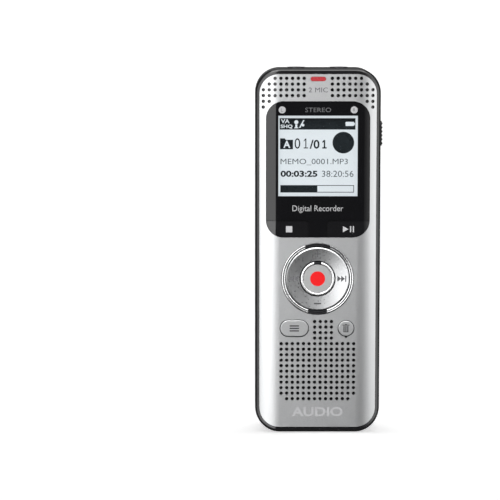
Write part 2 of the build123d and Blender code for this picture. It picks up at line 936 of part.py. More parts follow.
def speaker_cone():
    """Thin cone glued inside the basket's rim."""
    front = web_back + speaker_gasket_thickness
    outer = speaker_radius - speaker_seat_width
    inner = magnet_radius - cone_flat_margin
    points = [(0, front + cone_depth), (inner, front + cone_depth), (outer, front),
              (outer, front + cone_thickness), (inner, front + cone_depth + cone_thickness),
              (0, front + cone_depth + cone_thickness)]
    return turned(points, speaker_z)


def speaker_gasket():
    """Foam ring between the web and the loudspeaker."""
    ring = disc(speaker_radius, 0, speaker_z) - disc(speaker_radius - speaker_seat_width, 0, speaker_z)
    return across(ring, web_back, web_back + speaker_gasket_thickness)


def speaker_cloth():
    """Dust cloth behind the grille holes."""
    radius = speaker_radius - speaker_seat_width - seam_clearance
    return across(disc(radius, 0, speaker_z), plate_back, plate_back + cloth_thickness)


def speaker_leads():
    """Two short leads from the basket back to the board."""
    z = speaker_z + speaker_radius - lead_inset
    leads = [across(disc(lead_radius, side * lead_spacing / 2, z), speaker_back(), board_front)
             for side in (-1, 1)]
    return Part() + leads


def mic_capsule(side):
    """One electret capsule behind its port."""
    return across(disc(capsule_radius, side * capsule_x, capsule_z), web_back, web_back + capsule_depth)


def mic_boot(side):
    """Rubber boot round one capsule, closed at the board."""
    x = side * capsule_x
    boot = across(disc(capsule_radius + boot_wall, x, capsule_z), web_back, board_front)
    return boot - across(disc(capsule_radius, x, capsule_z), web_back - overrun, web_back + capsule_depth)


def mic_cloth():
    """Two discs of cloth in the microphone ports."""
    radius = mic_port_radius - seam_clearance
    discs = [across(disc(radius, side * capsule_x, capsule_z), plate_back, plate_back + cloth_thickness)
             for side in (-1, 1)]
    return Part() + discs


def light_pipe():
    """Clear red pipe from the status light's window to the lamp on the board."""
    return across(light_outline(0), front_y, board_front - led_height)


def status_led():
    """Small lamp on the board behind the light pipe."""
    half = light_width / 2 - light_height / 2
    low = light_z - light_height / 2
    return block(-half, half, board_front - led_height, board_front, low, low + light_height)


def jack(side):
    """One 3.5 mm jack: a block on the board, a round barrel through the case, and its bore."""
    x = side * jack_x
    top = body_height - jack_hole_depth
    mouth = body_height + jack_proud
    y_from = board_back
    body = block(x - jack_width / 2, x + jack_width / 2, y_from, y_from + jack_depth, jack_bottom, top)
    barrel = Cylinder(jack_barrel_radius, mouth - top, align=(Align.CENTER, Align.CENTER, Align.MIN))
    bore = Cylinder(jack_bore_radius, jack_bore_length, align=(Align.CENTER, Align.CENTER, Align.MAX))
    return body + Pos(x, jack_y, top) * barrel - Pos(x, jack_y, mouth) * bore


def jack_contacts():
    """Solder tabs on both sides of each jack."""
    tabs = []
    top = body_height - jack_hole_depth - contact_pitch / 2
    for x in (-jack_x, jack_x):
        for side in (-1, 1):
            for index in range(contacts_per_side):
                edge = x + side * jack_width / 2
                low, high = sorted((edge, edge + side * contact_thickness))
                z = top - index * contact_pitch
                tabs.append(block(low, high, board_back, board_back + contact_depth,
                                  z - contact_height / 2, z + contact_height / 2))
    return Part() + tabs


def usb_socket():
    """Metal shell of the micro-USB socket, open at the bottom end."""
    half = usb_width / 2
    top = usb_recess + usb_length
    front = board_front - usb_depth
    shell = block(-half, half, front, board_front, usb_recess, top)
    shell = chamfer(shell.edges().filter_by(Axis.Z).group_by(Axis.Y)[0], usb_chamfer)
    room = block(-half + usb_wall, half - usb_wall, front + usb_wall, board_front - usb_wall, 0,
                 top - usb_back_wall)
    room = chamfer(room.edges().filter_by(Axis.Z).group_by(Axis.Y)[0], usb_chamfer)
    return shell - room


def usb_tongue():
    """Plastic tongue inside the socket, with its contacts' face towards the board."""
    half = usb_tongue_width / 2
    top = usb_recess + usb_length - usb_back_wall
    middle = board_front - usb_depth / 2
    return block(-half, half, middle - usb_tongue_thickness / 2, middle + usb_tongue_thickness / 2,
                 top - usb_tongue_length, top)


def slider_bezel():
    """Raised ring in the side wall that the power slider runs in."""
    outer_x = case_half_width + slider_bezel_proud
    inner_x = case_half_width - wall
    length = slider_length + 2 * slider_travel + 2 * slider_edge_gap
    width = slider_width + 2 * slider_edge_gap
    ring = side_pill(slider_bezel_length, slider_bezel_width, slider_bezel_corner, inner_x, outer_x)
    corner = slider_corner_radius + slider_edge_gap
    return ring - side_pill(length, width, corner, inner_x - overrun, outer_x + overrun)


def power_slider():
    """Ridged slider with a foot behind its bezel."""
    foot_x = case_half_width - wall - slider_edge_gap
    top = case_half_width + slider_proud - ridge_height
    knob = side_pill(slider_length, slider_width, slider_corner_radius, foot_x, top)
    knob += side_pill(slider_foot_length, slider_foot_width, slider_corner_radius,
                      foot_x - slider_foot_thickness, foot_x)
    half = slider_width / 2 - slider_edge_gap
    for index in range(ridge_count):
        z = slider_z + (index - (ridge_count - 1) / 2) * ridge_pitch
        knob += block(top, top + ridge_height, slider_y - half, slider_y + half, z - ridge_width / 2,
                      z + ridge_width / 2)
    return knob


def switch_right():
    """Return the X of the slide switch's open side."""
    foot_x = case_half_width - wall - slider_edge_gap - slider_foot_thickness
    return foot_x - switch_gap


def slide_switch():
    """Slide switch on the back of the board, with a slot for its lever."""
    right = switch_right()
    switch = block(right - switch_width, right, board_back, board_back + switch_height,
                   slider_z - switch_length / 2, slider_z + switch_length / 2)
    half = lever_length / 2 + slider_travel + lever_clearance
    width = lever_thickness / 2 + lever_clearance
    depth = lever_depth + lever_clearance
    return switch - block(right - depth, right + overrun, slider_y - width, slider_y + width,
                          slider_z - half, slider_z + half)


def slide_switch_lever():
    """Lever of the slide switch, which the slider's foot carries."""
    right = switch_right()
    foot_x = case_half_width - wall - slider_edge_gap - slider_foot_thickness
    return block(right - lever_depth, foot_x, slider_y - lever_thickness / 2,
                 slider_y + lever_thickness / 2, slider_z - lever_length / 2, slider_z + lever_length / 2)


def cell(side):
    """One AAA cell: the left one has its nub up, the right one has it down."""
    nub_up = side < 0
    low = bay_top - contact_plate - cell_length if nub_up else bay_bottom + contact_plate
    align = (Align.CENTER, Align.CENTER, Align.MIN)
    body_low = low if nub_up else low + cell_nub_height
    nub_low = low + cell_length - cell_nub_height if nub_up else low
    body = Cylinder(cell_diameter / 2, cell_length - cell_nub_height, align=align)
    body = fillet(body.edges(), cell_edge_radius)
    nub = Cylinder(cell_nub_radius, cell_nub_height, align=align)
    x = side * cell_x
    return Pos(x, cell_y, body_low) * body + Pos(x, cell_y, nub_low) * nub


def battery_springs():
    """Two coil springs on the cells' flat ends."""
    springs = []
    rise = spring_length - 2 * spring_wire_radius
    for side in (-1, 1):
        low = bay_bottom + contact_plate if side < 0 else bay_top - contact_plate - spring_length
        path = Helix(rise / spring_turns, rise, spring_radius)
        section = Plane(origin=path @ 0, z_dir=path % 0) * Circle(spring_wire_radius)
        coil = sweep(section, path, is_frenet=True)
        springs.append(Pos(side * cell_x, cell_y, low + spring_wire_radius) * coil)
    return Part() + springs


def battery_contacts():
    """Contact plates: one plate joins the cells at the top and two separate ones stand at the bottom."""
    half = cell_diameter / 2 - contact_margin
    top = block(-cell_x - half, cell_x + half, cell_y - half, cell_y + half, bay_top - contact_plate,
                bay_top)
    plates = [top]
    for side in (-1, 1):
        x = side * cell_x
        plates.append(block(x - half, x + half, cell_y - half, cell_y + half, bay_bottom,
                            bay_bottom + contact_plate))
    return Part() + plates


def case_screws():
    """Four screws that hold the shells and the board together."""
    screws = []
    for x, z in screw_places:
        shank = across(disc(screw_radius, x, z), board_front - screw_grip + screw_clearance, screw_seat_y)
        head = across(disc(screw_head_radius, x, z), screw_seat_y, screw_seat_y + screw_head_height)
        seat = screw_seat_y + screw_head_height - screw_cross_depth
        half = screw_cross_width / 2
        slot = block(x - screw_radius, x + screw_radius, seat, seat + overrun, z - half, z + half)
        cross = block(x - half, x + half, seat, seat + overrun, z - screw_radius, z + screw_radius)
        screws.append(shank + head - slot - cross)
    return Part() + screws


nodes = {
    "front_plate": front_plate(),
    "front_frame": front_frame(),
    "rear_shell": rear_shell(),
    "battery_door": battery_door(),
    "display_lens": display_lens(),
    "stop_key": soft_key(-1),
    "play_key": soft_key(1),
    "menu_key": flat_key(menu_outline(0), menu_outline(flange_overlap), menu_key_x),
    "delete_key": flat_key(delete_outline(0), delete_outline(flange_overlap), delete_key_x),
    "nav_bezel": nav_bezel(),
    "nav_ring": nav_ring(),
    "nav_support_ring": nav_support_ring(),
    "record_key": record_key(),
    "record_key_trim": record_key_trim(),
    "record_dot": record_dot(),
    "rubber_keypad": rubber_keypad(),
    "dome_switches": dome_switches(),
    "main_board": main_board(),
    "processor_chip": chip(processor_size, processor_size, 0, processor_z, chip_height),
    "memory_chip": chip(memory_width, memory_length, 0, memory_z, chip_height),
    "crystal": chip(crystal_length, crystal_width, crystal_x, crystal_z, chip_height),
    "board_parts": board_parts(),
    "lcd_panel": lcd_panel(),
    "display_gasket": display_gasket(),
    "lcd_backlight": lcd_backlight(),
    "lcd_holder": lcd_holder(),
    "lcd_flex": lcd_flex(),
    "speaker_frame": speaker_frame(),
    "speaker_magnet": speaker_magnet(),
    "speaker_cone": speaker_cone(),
    "speaker_gasket": speaker_gasket(),
    "speaker_cloth": speaker_cloth(),
    "speaker_leads": speaker_leads(),
    "mic_capsule_left": mic_capsule(-1),
    "mic_capsule_right": mic_capsule(1),
    "mic_boot_left": mic_boot(-1),
    "mic_boot_right": mic_boot(1),
    "mic_cloth": mic_cloth(),
    "status_light_pipe": light_pipe(),
    "status_led": status_led(),
    "microphone_jack": jack(-1),
    "headphone_jack": jack(1),
    "jack_contacts": jack_contacts(),
    "usb_socket": usb_socket(),
    "usb_tongue": usb_tongue(),
    "slider_bezel": slider_bezel(),
    "power_slider": power_slider(),
    "slide_switch": slide_switch(),
    "slide_switch_lever": slide_switch_lever(),
    "battery_left": cell(-1),
    "battery_right": cell(1),
    "battery_springs": battery_springs(),
    "battery_contacts": battery_contacts(),
    "case_screws": case_screws(),
}

os.makedirs("parts", exist_ok=True)
for name, shape in nodes.items():
    export_step(shape, f"parts/{name}.step")
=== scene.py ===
"""Looks of a slim pocket voice recorder, dressed over its fixed frame.

Everything is in metres, in the frame's own axes: +Z runs up the length and -Y points out of the
display side. Sizes that a maker would write in millimetres are multiplied by MM.
"""

import logging
import math
from dataclasses import dataclass, field
from enum import Enum
from functools import partial
from typing import Any, Callable, Iterable

import bmesh
import bpy
from mathutils import Matrix, Vector
from mathutils.bvhtree import BVHTree


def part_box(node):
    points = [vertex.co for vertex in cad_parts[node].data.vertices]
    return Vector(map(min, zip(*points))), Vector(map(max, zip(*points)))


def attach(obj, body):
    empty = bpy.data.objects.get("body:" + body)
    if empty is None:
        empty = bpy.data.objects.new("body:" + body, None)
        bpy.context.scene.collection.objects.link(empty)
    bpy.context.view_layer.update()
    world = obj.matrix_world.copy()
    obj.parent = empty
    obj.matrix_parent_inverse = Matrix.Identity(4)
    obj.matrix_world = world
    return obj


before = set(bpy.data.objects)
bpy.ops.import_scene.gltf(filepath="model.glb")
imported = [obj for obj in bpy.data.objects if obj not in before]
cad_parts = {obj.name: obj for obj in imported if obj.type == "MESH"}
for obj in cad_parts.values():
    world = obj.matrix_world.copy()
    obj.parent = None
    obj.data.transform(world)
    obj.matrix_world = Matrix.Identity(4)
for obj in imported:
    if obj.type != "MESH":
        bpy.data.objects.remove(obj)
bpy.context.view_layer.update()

MM = 0.001
WELD = 0.0001 * MM
RAY_START = 0.05
TEXT_STEPS = 3
LOG = logging.getLogger("recorder")
Colour = tuple[float, float, float]
Point = tuple[float, float]


# ---------------------------------------------------------------- shader tools


class Num:
    """A number in a shader tree, with arithmetic that adds Math nodes."""

    def __init__(self, shader: "Shader", socket: Any) -> None:
        """Keep the shader and the output socket that holds the number."""
        self.shader = shader
        self.socket = socket

    def math(self, operation: str, *others: Any) -> "Num":
        """Add a Math node.

        Args:
            operation: The Math node's operation.
            others: The other operands, as Num or plain numbers.

        Returns:
            The node's result.
        """
        inputs = dict(enumerate((self, *others)))
        made = self.shader.node("ShaderNodeMath", {"operation": operation}, inputs)
        return Num(self.shader, made.outputs[0])

    def __add__(self, other: Any) -> "Num":
        """Add a number."""
        return self.math("ADD", other)

    __radd__ = __add__

    def __mul__(self, other: Any) -> "Num":
        """Multiply by a number."""
        return self.math("MULTIPLY", other)

    __rmul__ = __mul__

    def __sub__(self, other: Any) -> "Num":
        """Take a number away."""
        return self.math("SUBTRACT", other)

    def __rsub__(self, other: Any) -> "Num":
        """Take this number away from another."""
        return (self * -1.0) + other

    def __truediv__(self, other: float) -> "Num":
        """Divide by a number."""
        return self.math("DIVIDE", other)

    def __abs__(self) -> "Num":
        """Drop the sign."""
        return self.math("ABSOLUTE")

    def __lt__(self, other: Any) -> "Num":
        """Give 1 where this is less than another, else 0."""
        return self.math("LESS_THAN", other)

    def __gt__(self, other: Any) -> "Num":
        """Give 1 where this is greater than another, else 0."""
        return self.math("GREATER_THAN", other)

    def ramp(self, low: float, high: float, out_low: float = 0.0, out_high: float = 1.0) -> "Num":
        """Map a span smoothly to another.

        Args:
            low: The value that gives out_low.
            high: The value that gives out_high.
            out_low: The result at and below low.
            out_high: The result at and above high.

        Returns:
            The mapped number.
        """
        inputs = {"Value": self, "From Min": low, "From Max": high, "To Min": out_low, "To Max": out_high}
        made = self.shader.node("ShaderNodeMapRange", {"interpolation_type": "SMOOTHSTEP"}, inputs)
        return Num(self.shader, made.outputs["Result"])


class Shader:
    """One material's node tree and the few nodes that the finishes share."""

    def __init__(self, owner: bpy.types.Material | bpy.types.Light | str) -> None:
        """Start an empty tree in a lamp, or in a new material with a name.

        Args:
            owner: A lamp, or a new material's name.
        """
        self.owner = bpy.data.materials.new(owner) if isinstance(owner, str) else owner
        self.owner.use_nodes = True
        self.tree = self.owner.node_tree
        self.tree.nodes.clear()

    def node(self, kind: str, settings: dict[str, Any] | None = None,
             sockets: dict[Any, Any] | None = None) -> bpy.types.Node:
        """Add a node.

        Args:
            kind: The node's type.
            settings: Attributes to set first, such as a Math node's operation.
            sockets: Values or links of its inputs, by name or number.

        Returns:
            The node.
        """
        made = self.tree.nodes.new(kind)
        for key, value in (settings or {}).items():
            setattr(made, key, value)
        for key, value in (sockets or {}).items():
            if isinstance(value, Num):
                value = value.socket
            if isinstance(value, bpy.types.NodeSocket):
                self.tree.links.new(value, made.inputs[key])
            else:
                made.inputs[key].default_value = value
        return made

    def place(self) -> tuple[Num, Num, Num]:
        """Give the surface point's X, Y and Z in millimetres.

        Returns:
            X, Y and Z.
        """
        where = self.node("ShaderNodeTexCoord").outputs["Object"]
        split = self.node("ShaderNodeSeparateXYZ", sockets={0: where})
        return tuple(Num(self, output) / MM for output in split.outputs)

    def noise(self, grain_mm: float, detail: float = 3.0, stretch: Colour = (1.0, 1.0, 1.0)) -> Num:
        """Give a noise pattern.

        Args:
            grain_mm: The grain's size in millimetres.
            detail: How many octaves.
            stretch: Scale along each axis: a small number draws the grain out.

        Returns:
            The noise, about 0 to 1.
        """
        where = self.node("ShaderNodeTexCoord").outputs["Object"]
        scaled = self.node("ShaderNodeMapping", sockets={"Vector": where, "Scale": stretch})
        inputs = {"Vector": scaled.outputs[0], "Scale": 1.0 / (grain_mm * MM), "Detail": detail}
        return Num(self, self.node("ShaderNodeTexNoise", sockets=inputs).outputs["Fac"])

    def mix(self, factor: Any, first: Any, second: Any) -> bpy.types.NodeSocket:
        """Blend two colours.

        Args:
            factor: 0 gives the first and 1 the second.
            first: A colour or a colour socket.
            second: A colour or a colour socket.

        Returns:
            The blended colour's socket.
        """
        made = self.node("ShaderNodeMix", {"data_type": "RGBA"}, {0: factor})
        for index, colour in ((6, first), (7, second)):
            if isinstance(colour, bpy.types.NodeSocket):
                self.tree.links.new(colour, made.inputs[index])
            else:
                made.inputs[index].default_value = (*colour, 1.0)
        return made.outputs[2]

    def bump(self, height: Num, depth_mm: float, strength: float = 1.0) -> bpy.types.NodeSocket:
        """Turn a height pattern into a normal.

        Args:
            height: The pattern, 0 to 1.
            depth_mm: The relief's height in millimetres.
            strength: The bump's strength.

        Returns:
            The normal's socket.
        """
        inputs = {"Height": height, "Distance": depth_mm * MM, "Strength": strength}
        return self.node("ShaderNodeBump", sockets=inputs).outputs[0]

    def surface(self, **sockets: Any) -> bpy.types.Material:
        """Close the tree with a principled surface.

        Args:
            sockets: The principled shader's inputs, with underscores for spaces.

        Returns:
            The finished material.
        """
        inputs = {key.replace("_", " "): value for key, value in sockets.items()}
        for key in ("Base Color", "Emission Color", "Coat Tint", "Specular Tint"):
            if isinstance(inputs.get(key), tuple) and len(inputs[key]) == 3:
                inputs[key] = (*inputs[key], 1.0)
        principled = self.node("ShaderNodeBsdfPrincipled", sockets=inputs)
        self.node("ShaderNodeOutputMaterial", sockets={"Surface": principled.outputs[0]})
        return self.owner


def shade(colour: Colour, amount: float) -> Colour:
    """Scale a colour's brightness."""
    return tuple(min(1.0, part * amount) for part in colour)


# ---------------------------------------------------------------- finishes


@dataclass(frozen=True)
class BlastedSilver:
    """Fine blasted metal paint, as on the front plate and the lower keys.

    The metal paint reaches a set depth behind the front, and below it near black is painted as shade.
    front_mm is the Y of its flat middle, flat_mm is half that middle's width, and curve_mm is the radius of
    the curved sides.
    """

    name: str = "blasted_silver"
    colour: Colour = (0.455, 0.46, 0.465)
    roughness: float = 0.37
    grain_mm: float = 0.16
    relief_mm: float = 0.006
    shade_start_depth_mm: float = 0.12
    front_mm: float = -10.5
    flat_mm: float = 11.7
    curve_mm: float = 16.0
    # near black painted as shade on the hole walls and the sides of keys
    deep_painted_shade: Colour = (0.012, 0.012, 0.013)

    def material(self) -> bpy.types.Material:
        """Make the material: metal paint on the outside and near black painted shade down the holes' walls.

        Returns:
            The material.
        """
        s = Shader(self.name)
        x, y, _ = s.place()
        past = (abs(x) - self.flat_mm).math("MAXIMUM", 0.0)
        fall = self.curve_mm - (self.curve_mm ** 2 - past * past).math("SQRT")
        # painted shade: deeper than the paint, down the holes' walls and the keys' sides, the surface turns
        # near black and non-metal
        unshaded = (y - self.front_mm - fall) < self.shade_start_depth_mm
        grain = s.noise(self.grain_mm, 2.0)
        patch = s.noise(9.0, 2.0)
        tone = grain.ramp(0.3, 0.7) * 0.8 + patch * 0.2
        colour = s.mix(tone, shade(self.colour, 0.93), shade(self.colour, 1.06))
        rough = grain.ramp(0.25, 0.75, self.roughness - 0.05, self.roughness + 0.05)
        return s.surface(Base_Color=s.mix(unshaded, self.deep_painted_shade, colour), Metallic=unshaded,
                         Roughness=rough, Normal=s.bump(grain, self.relief_mm, 0.6))


@dataclass(frozen=True)
class GlossBlack:
    """Polished black plastic with faint handling marks."""

    name: str = "gloss_black"
    colour: Colour = (0.004, 0.004, 0.0045)
    roughness: float = 0.10
    dust_colour: Colour = (0.03, 0.03, 0.032)
    dust_share: float = 0.1

    def material(self) -> bpy.types.Material:
        """Make the material.

        Returns:
            The material.
        """
        s = Shader(self.name)
        wipe = s.noise(3.0, 4.0, (1.0, 1.0, 0.25))
        dust = s.noise(0.35, 2.0).ramp(0.70, 0.80)
        colour = s.mix(dust * self.dust_share, self.colour, self.dust_colour)
        rough = wipe.ramp(0.35, 0.75, self.roughness * 0.7, self.roughness * 1.7)
        return s.surface(Base_Color=colour, Roughness=rough,
                         Normal=s.bump(s.noise(6.0, 1.0), 0.004, 0.3))


@dataclass(frozen=True)
class SatinBlack:
    """Spark-eroded black plastic, with a printed arrow pointing down where one is asked for."""

    name: str = "satin_black"
    colour: Colour = (0.018, 0.018, 0.020)
    roughness: float = 0.46
    grain_mm: float = 0.28
    arrow_top_mm: float = 0.0
    arrow_face_mm: float = 0.0
    arrow_half_mm: float = 2.6
    arrow_height_mm: float = 1.9
    arrow_colour: Colour = (0.16, 0.16, 0.165)

    def material(self) -> bpy.types.Material:
        """Make the material.

        Returns:
            The material.
        """
        s = Shader(self.name)
        grain = s.noise(self.grain_mm, 3.0)
        handled = s.noise(14.0, 3.0)
        colour = s.mix(grain, shade(self.colour, 0.7), shade(self.colour, 1.6))
        rough = handled.ramp(0.3, 0.7, self.roughness - 0.06, self.roughness + 0.08)
        if self.arrow_top_mm:
            x, y, z = s.place()
            drop = (z * -1.0 + self.arrow_top_mm) * (1.0 / self.arrow_height_mm)
            outside = y > self.arrow_face_mm
            arrow = outside * (drop > 0.0) * (abs(x) * (1.0 / self.arrow_half_mm) + drop < 1.0)
            colour = s.mix(arrow, colour, self.arrow_colour)
        return s.surface(Base_Color=colour, Roughness=rough, Normal=s.bump(grain, 0.03, 0.8))


@dataclass(frozen=True)
class WindowGlass:
    """Display glass: a clear window inside a black border printed on its back."""

    view_low: Point
    view_high: Point
    name: str = "window_glass"
    border: Colour = (0.0016, 0.0016, 0.002)
    clear_alpha: float = 0.06
    edge_mm: float = 0.06
    specular: float = 0.34

    def material(self) -> bpy.types.Material:
        """Make the material.

        Returns:
            The material.
        """
        s = Shader(self.name)
        x, _, z = s.place()
        middle = [(low + high) / 2 for low, high in zip(self.view_low, self.view_high)]
        half = [(high - low) / 2 for low, high in zip(self.view_low, self.view_high)]
        across = abs(x - middle[0]).ramp(half[0] - self.edge_mm, half[0] + self.edge_mm)
        along = abs(z - middle[1]).ramp(half[1] - self.edge_mm, half[1] + self.edge_mm)
        masked = across.math("MAXIMUM", along)
        wipe = s.noise(4.0, 3.0)
        colour = s.mix(wipe, self.border, shade(self.border, 1.6))
        rough = wipe.ramp(0.3, 0.7, 0.035, 0.07)
        return s.surface(Base_Color=colour, Roughness=rough,
                         Alpha=masked * (1.0 - self.clear_alpha) + self.clear_alpha,
                         Specular_IOR_Level=self.specular)


@dataclass(frozen=True)
class Plating:
    """Bright plating, with painted dark reflection arcs at a ring's top and foot, and dull valleys with
    painted shade where asked.
    """

    centre_z_mm: float = 0.0
    top_arc_mm: float = 0.0
    foot_arc_mm: float = 0.0
    arc_radii_mm: Point = (0.0, 0.0)
    crest_mm: float = 0.0
    crest_pitch_mm: float = 0.0
    name: str = "bright_plating"
    colour: Colour = (0.80, 0.805, 0.81)
    roughness: float = 0.13
    valley_painted_shade: float = 0.24
    valley_dulling: float = 0.15
    dark_reflection_colour: Colour = (0.008, 0.008, 0.009)
    dark_reflection_dulling: float = 0.35
    specular: float = 0.1

    def material(self) -> bpy.types.Material:
        """Make the material.

        Returns:
            The material.
        """
        s = Shader(self.name)
        wear = s.noise(0.5, 3.0)
        colour = s.mix(wear, shade(self.colour, 0.94), self.colour)
        rough = wear.ramp(0.3, 0.8, self.roughness * 0.8, self.roughness * 1.4)
        metal: Any = 1.0
        if self.top_arc_mm:
            x, _, z = s.place()
            rise = z - self.centre_z_mm
            radius = (x * x + rise * rise).math("SQRT")
            if self.crest_pitch_mm:
                turn = (radius - self.crest_mm) * (2 * math.pi / self.crest_pitch_mm)
                crest = turn.math("COSINE").ramp(0.0, 0.7)
                # painted shade: the plating's colour darkens in the valleys between the crests, where the
                # grooves fall into shade
                colour = s.mix(crest, shade(self.colour, self.valley_painted_shade), colour)
                rough = rough + (1.0 - crest) * self.valley_dulling
            # painted reflection: dark, non-metal arcs at the ring's top and foot stand in for the dark
            # reflection seen there
            inside = (radius > self.arc_radii_mm[0]) * (radius < self.arc_radii_mm[1])
            top = (abs(x) < self.top_arc_mm) * (rise > 0.0)
            foot = (abs(x) < self.foot_arc_mm) * (rise < 0.0)
            dark_reflection_arcs = (top + foot) * inside
            colour = s.mix(dark_reflection_arcs, colour, self.dark_reflection_colour)
            metal = 1.0 - dark_reflection_arcs
            rough = rough + dark_reflection_arcs * self.dark_reflection_dulling
        return s.surface(Base_Color=colour, Metallic=metal, Roughness=rough,
                         Specular_IOR_Level=self.specular)


@dataclass(frozen=True)
class SpunMetal:
    """Lacquered metal with the fine circles that turning leaves."""

    centre_z_mm: float = 0.0
    name: str = "spun_metal"
    colour: Colour = (0.43, 0.435, 0.44)
    roughness: float = 0.30
    pitch_mm: float = 0.22

    def material(self) -> bpy.types.Material:
        """Make the material.

        Returns:
            The material.
        """
        s = Shader(self.name)
        x, _, z = s.place()
        rise = z - self.centre_z_mm
        radius = (x * x + rise * rise).math("SQRT")
        circles = (radius * (2 * math.pi / self.pitch_mm)).math("SINE") * 0.5 + 0.5
        uneven = s.noise(0.6, 3.0)
        line = circles * uneven
        colour = s.mix(line, shade(self.colour, 0.96), shade(self.colour, 1.05))
        rough = uneven.ramp(0.3, 0.7, self.roughness - 0.03, self.roughness + 0.05)
        return s.surface(Base_Color=colour, Metallic=1.0, Roughness=rough,
                         Normal=s.bump(circles, 0.0002, 0.2))


@dataclass(frozen=True)
class Moulded:
    """Moulded plastic or rubber with a faint flow mottle."""

    name: str
    colour: Colour
    roughness: float = 0.45
    grain_mm: float = 0.4
    relief_mm: float = 0.008
    glow: float = 0.0
    specular: float = 0.5

    def material(self) -> bpy.types.Material:
        """Make the material.

        Returns:
            The material.
        """
        s = Shader(self.name)
        grain = s.noise(self.grain_mm, 3.0)
        colour = s.mix(grain, shade(self.colour, 0.85), shade(self.colour, 1.12))
        rough = grain.ramp(0.3, 0.7, self.roughness * 0.85, min(1.0, self.roughness * 1.15))
        return s.surface(Base_Color=colour, Roughness=rough, Emission_Color=colour,
                         Emission_Strength=self.glow, Specular_IOR_Level=self.specular,
                         Normal=s.bump(grain, self.relief_mm, 0.5))


@dataclass(frozen=True)
class RolledMetal:
    """Plain metal sheet or wire with fine drawn lines."""

    name: str
    colour: Colour
    roughness: float = 0.3
    stretch: Colour = (1.0, 1.0, 0.06)

    def material(self) -> bpy.types.Material:
        """Make the material.

        Returns:
            The material.
        """
        s = Shader(self.name)
        line = s.noise(0.12, 3.0, self.stretch)
        stain = s.noise(2.5, 3.0)
        colour = s.mix(stain, shade(self.colour, 0.86), shade(self.colour, 1.06))
        rough = line.ramp(0.3, 0.7, self.roughness - 0.07, self.roughness + 0.1)
        return s.surface(Base_Color=colour, Metallic=1.0, Roughness=rough,
                         Normal=s.bump(line, 0.004, 0.5))


@dataclass(frozen=True)
class WovenCloth:
    """Fine acoustic cloth or open foam, drawn as crossed threads."""

    name: str = "acoustic_cloth"
    colour: Colour = (0.006, 0.006, 0.0065)
    thread_mm: float = 0.22

    def material(self) -> bpy.types.Material:
        """Make the material.

        Returns:
            The material.
        """
        s = Shader(self.name)
        x, _, z = s.place()
        turn = 2 * math.pi / self.thread_mm
        weave = (x * turn).math("SINE") * (z * turn).math("SINE") * 0.5 + 0.5
        fibre = s.noise(0.08, 2.0)
        height = weave * 0.7 + fibre * 0.3
        colour = s.mix(height, shade(self.colour, 0.5), shade(self.colour, 1.8))
        return s.surface(Base_Color=colour, Roughness=0.95, Specular_IOR_Level=0.15,
                         Normal=s.bump(height, 0.04, 0.8))


@dataclass(frozen=True)
class CircuitBoard:
    """Green solder mask over copper tracks, with gold pads."""

    name: str = "circuit_board"
    mask: Colour = (0.010, 0.085, 0.035)
    track: Colour = (0.025, 0.17, 0.07)
    pad: Colour = (0.75, 0.56, 0.22)
    wander_mm: float = 5.0
    run_turns: Point = (3.1, 9.0)
    cross_turns: Point = (2.3, 7.0)
    pad_turn: float = 2.4

    def material(self) -> bpy.types.Material:
        """Make the material.

        Returns:
            The material.
        """
        s = Shader(self.name)
        x, _, z = s.place()
        cell = s.noise(self.wander_mm, 1.0)
        run = (x * self.run_turns[0] + cell * self.run_turns[1]).math("SINE").ramp(0.55, 0.65)
        cross = (z * self.cross_turns[0] + cell * self.cross_turns[1]).math("SINE").ramp(0.72, 0.8)
        tracks = run.math("MAXIMUM", cross)
        dots = ((x * self.pad_turn).math("SINE") * (z * self.pad_turn).math("SINE")).ramp(0.93, 0.97)
        colour = s.mix(dots, s.mix(tracks, self.mask, self.track), self.pad)
        rough = dots.ramp(0.0, 1.0, 0.32, 0.22)
        return s.surface(Base_Color=colour, Metallic=dots, Roughness=rough, Coat_Weight=0.3,
                         Normal=s.bump(tracks, 0.03, 0.7))


@dataclass(frozen=True)
class LitPanel:
    """The lit display panel: a pale blue-white field with its fine cell grid."""

    name: str = "lit_panel"
    colour: Colour = (0.77, 0.835, 0.875)
    glow: float = 0.88
    body: float = 0.12
    cell_mm: float = 0.19

    def material(self) -> bpy.types.Material:
        """Make the material.

        Returns:
            The material.
        """
        s = Shader(self.name)
        x, _, z = s.place()
        turn = 2 * math.pi / self.cell_mm
        grid = (x * turn).math("COSINE").math("MAXIMUM", (z * turn).math("COSINE")).ramp(0.75, 1.0)
        cloud = s.noise(7.0, 2.0)
        field_colour = s.mix(cloud, shade(self.colour, 0.97), shade(self.colour, 1.02))
        colour = s.mix(grid * 0.16, field_colour, shade(self.colour, 0.6))
        base = s.mix(grid, shade(self.colour, self.body), shade(self.colour, self.body * 0.6))
        return s.surface(Base_Color=base, Roughness=0.35, Emission_Color=colour,
                         Emission_Strength=self.glow)


@dataclass(frozen=True)
class Ink:
    """Printed ink or a display segment: one tone with the grain of the print."""

    name: str
    colour: Colour
    roughness: float = 0.5
    metallic: float = 0.0
    glow: float = 0.0
    specular: float = 0.5

    def material(self) -> bpy.types.Material:
        """Make the material.

        Returns:
            The material.
        """
        s = Shader(self.name)
        grain = s.noise(0.12, 2.0)
        colour = s.mix(grain, shade(self.colour, 0.9), shade(self.colour, 1.1))
        rough = grain.ramp(0.3, 0.7, self.roughness * 0.9, min(1.0, self.roughness * 1.1))
        return s.surface(Base_Color=colour, Roughness=rough, Metallic=self.metallic,
                         Emission_Color=colour, Emission_Strength=self.glow,
                         Specular_IOR_Level=self.specular)


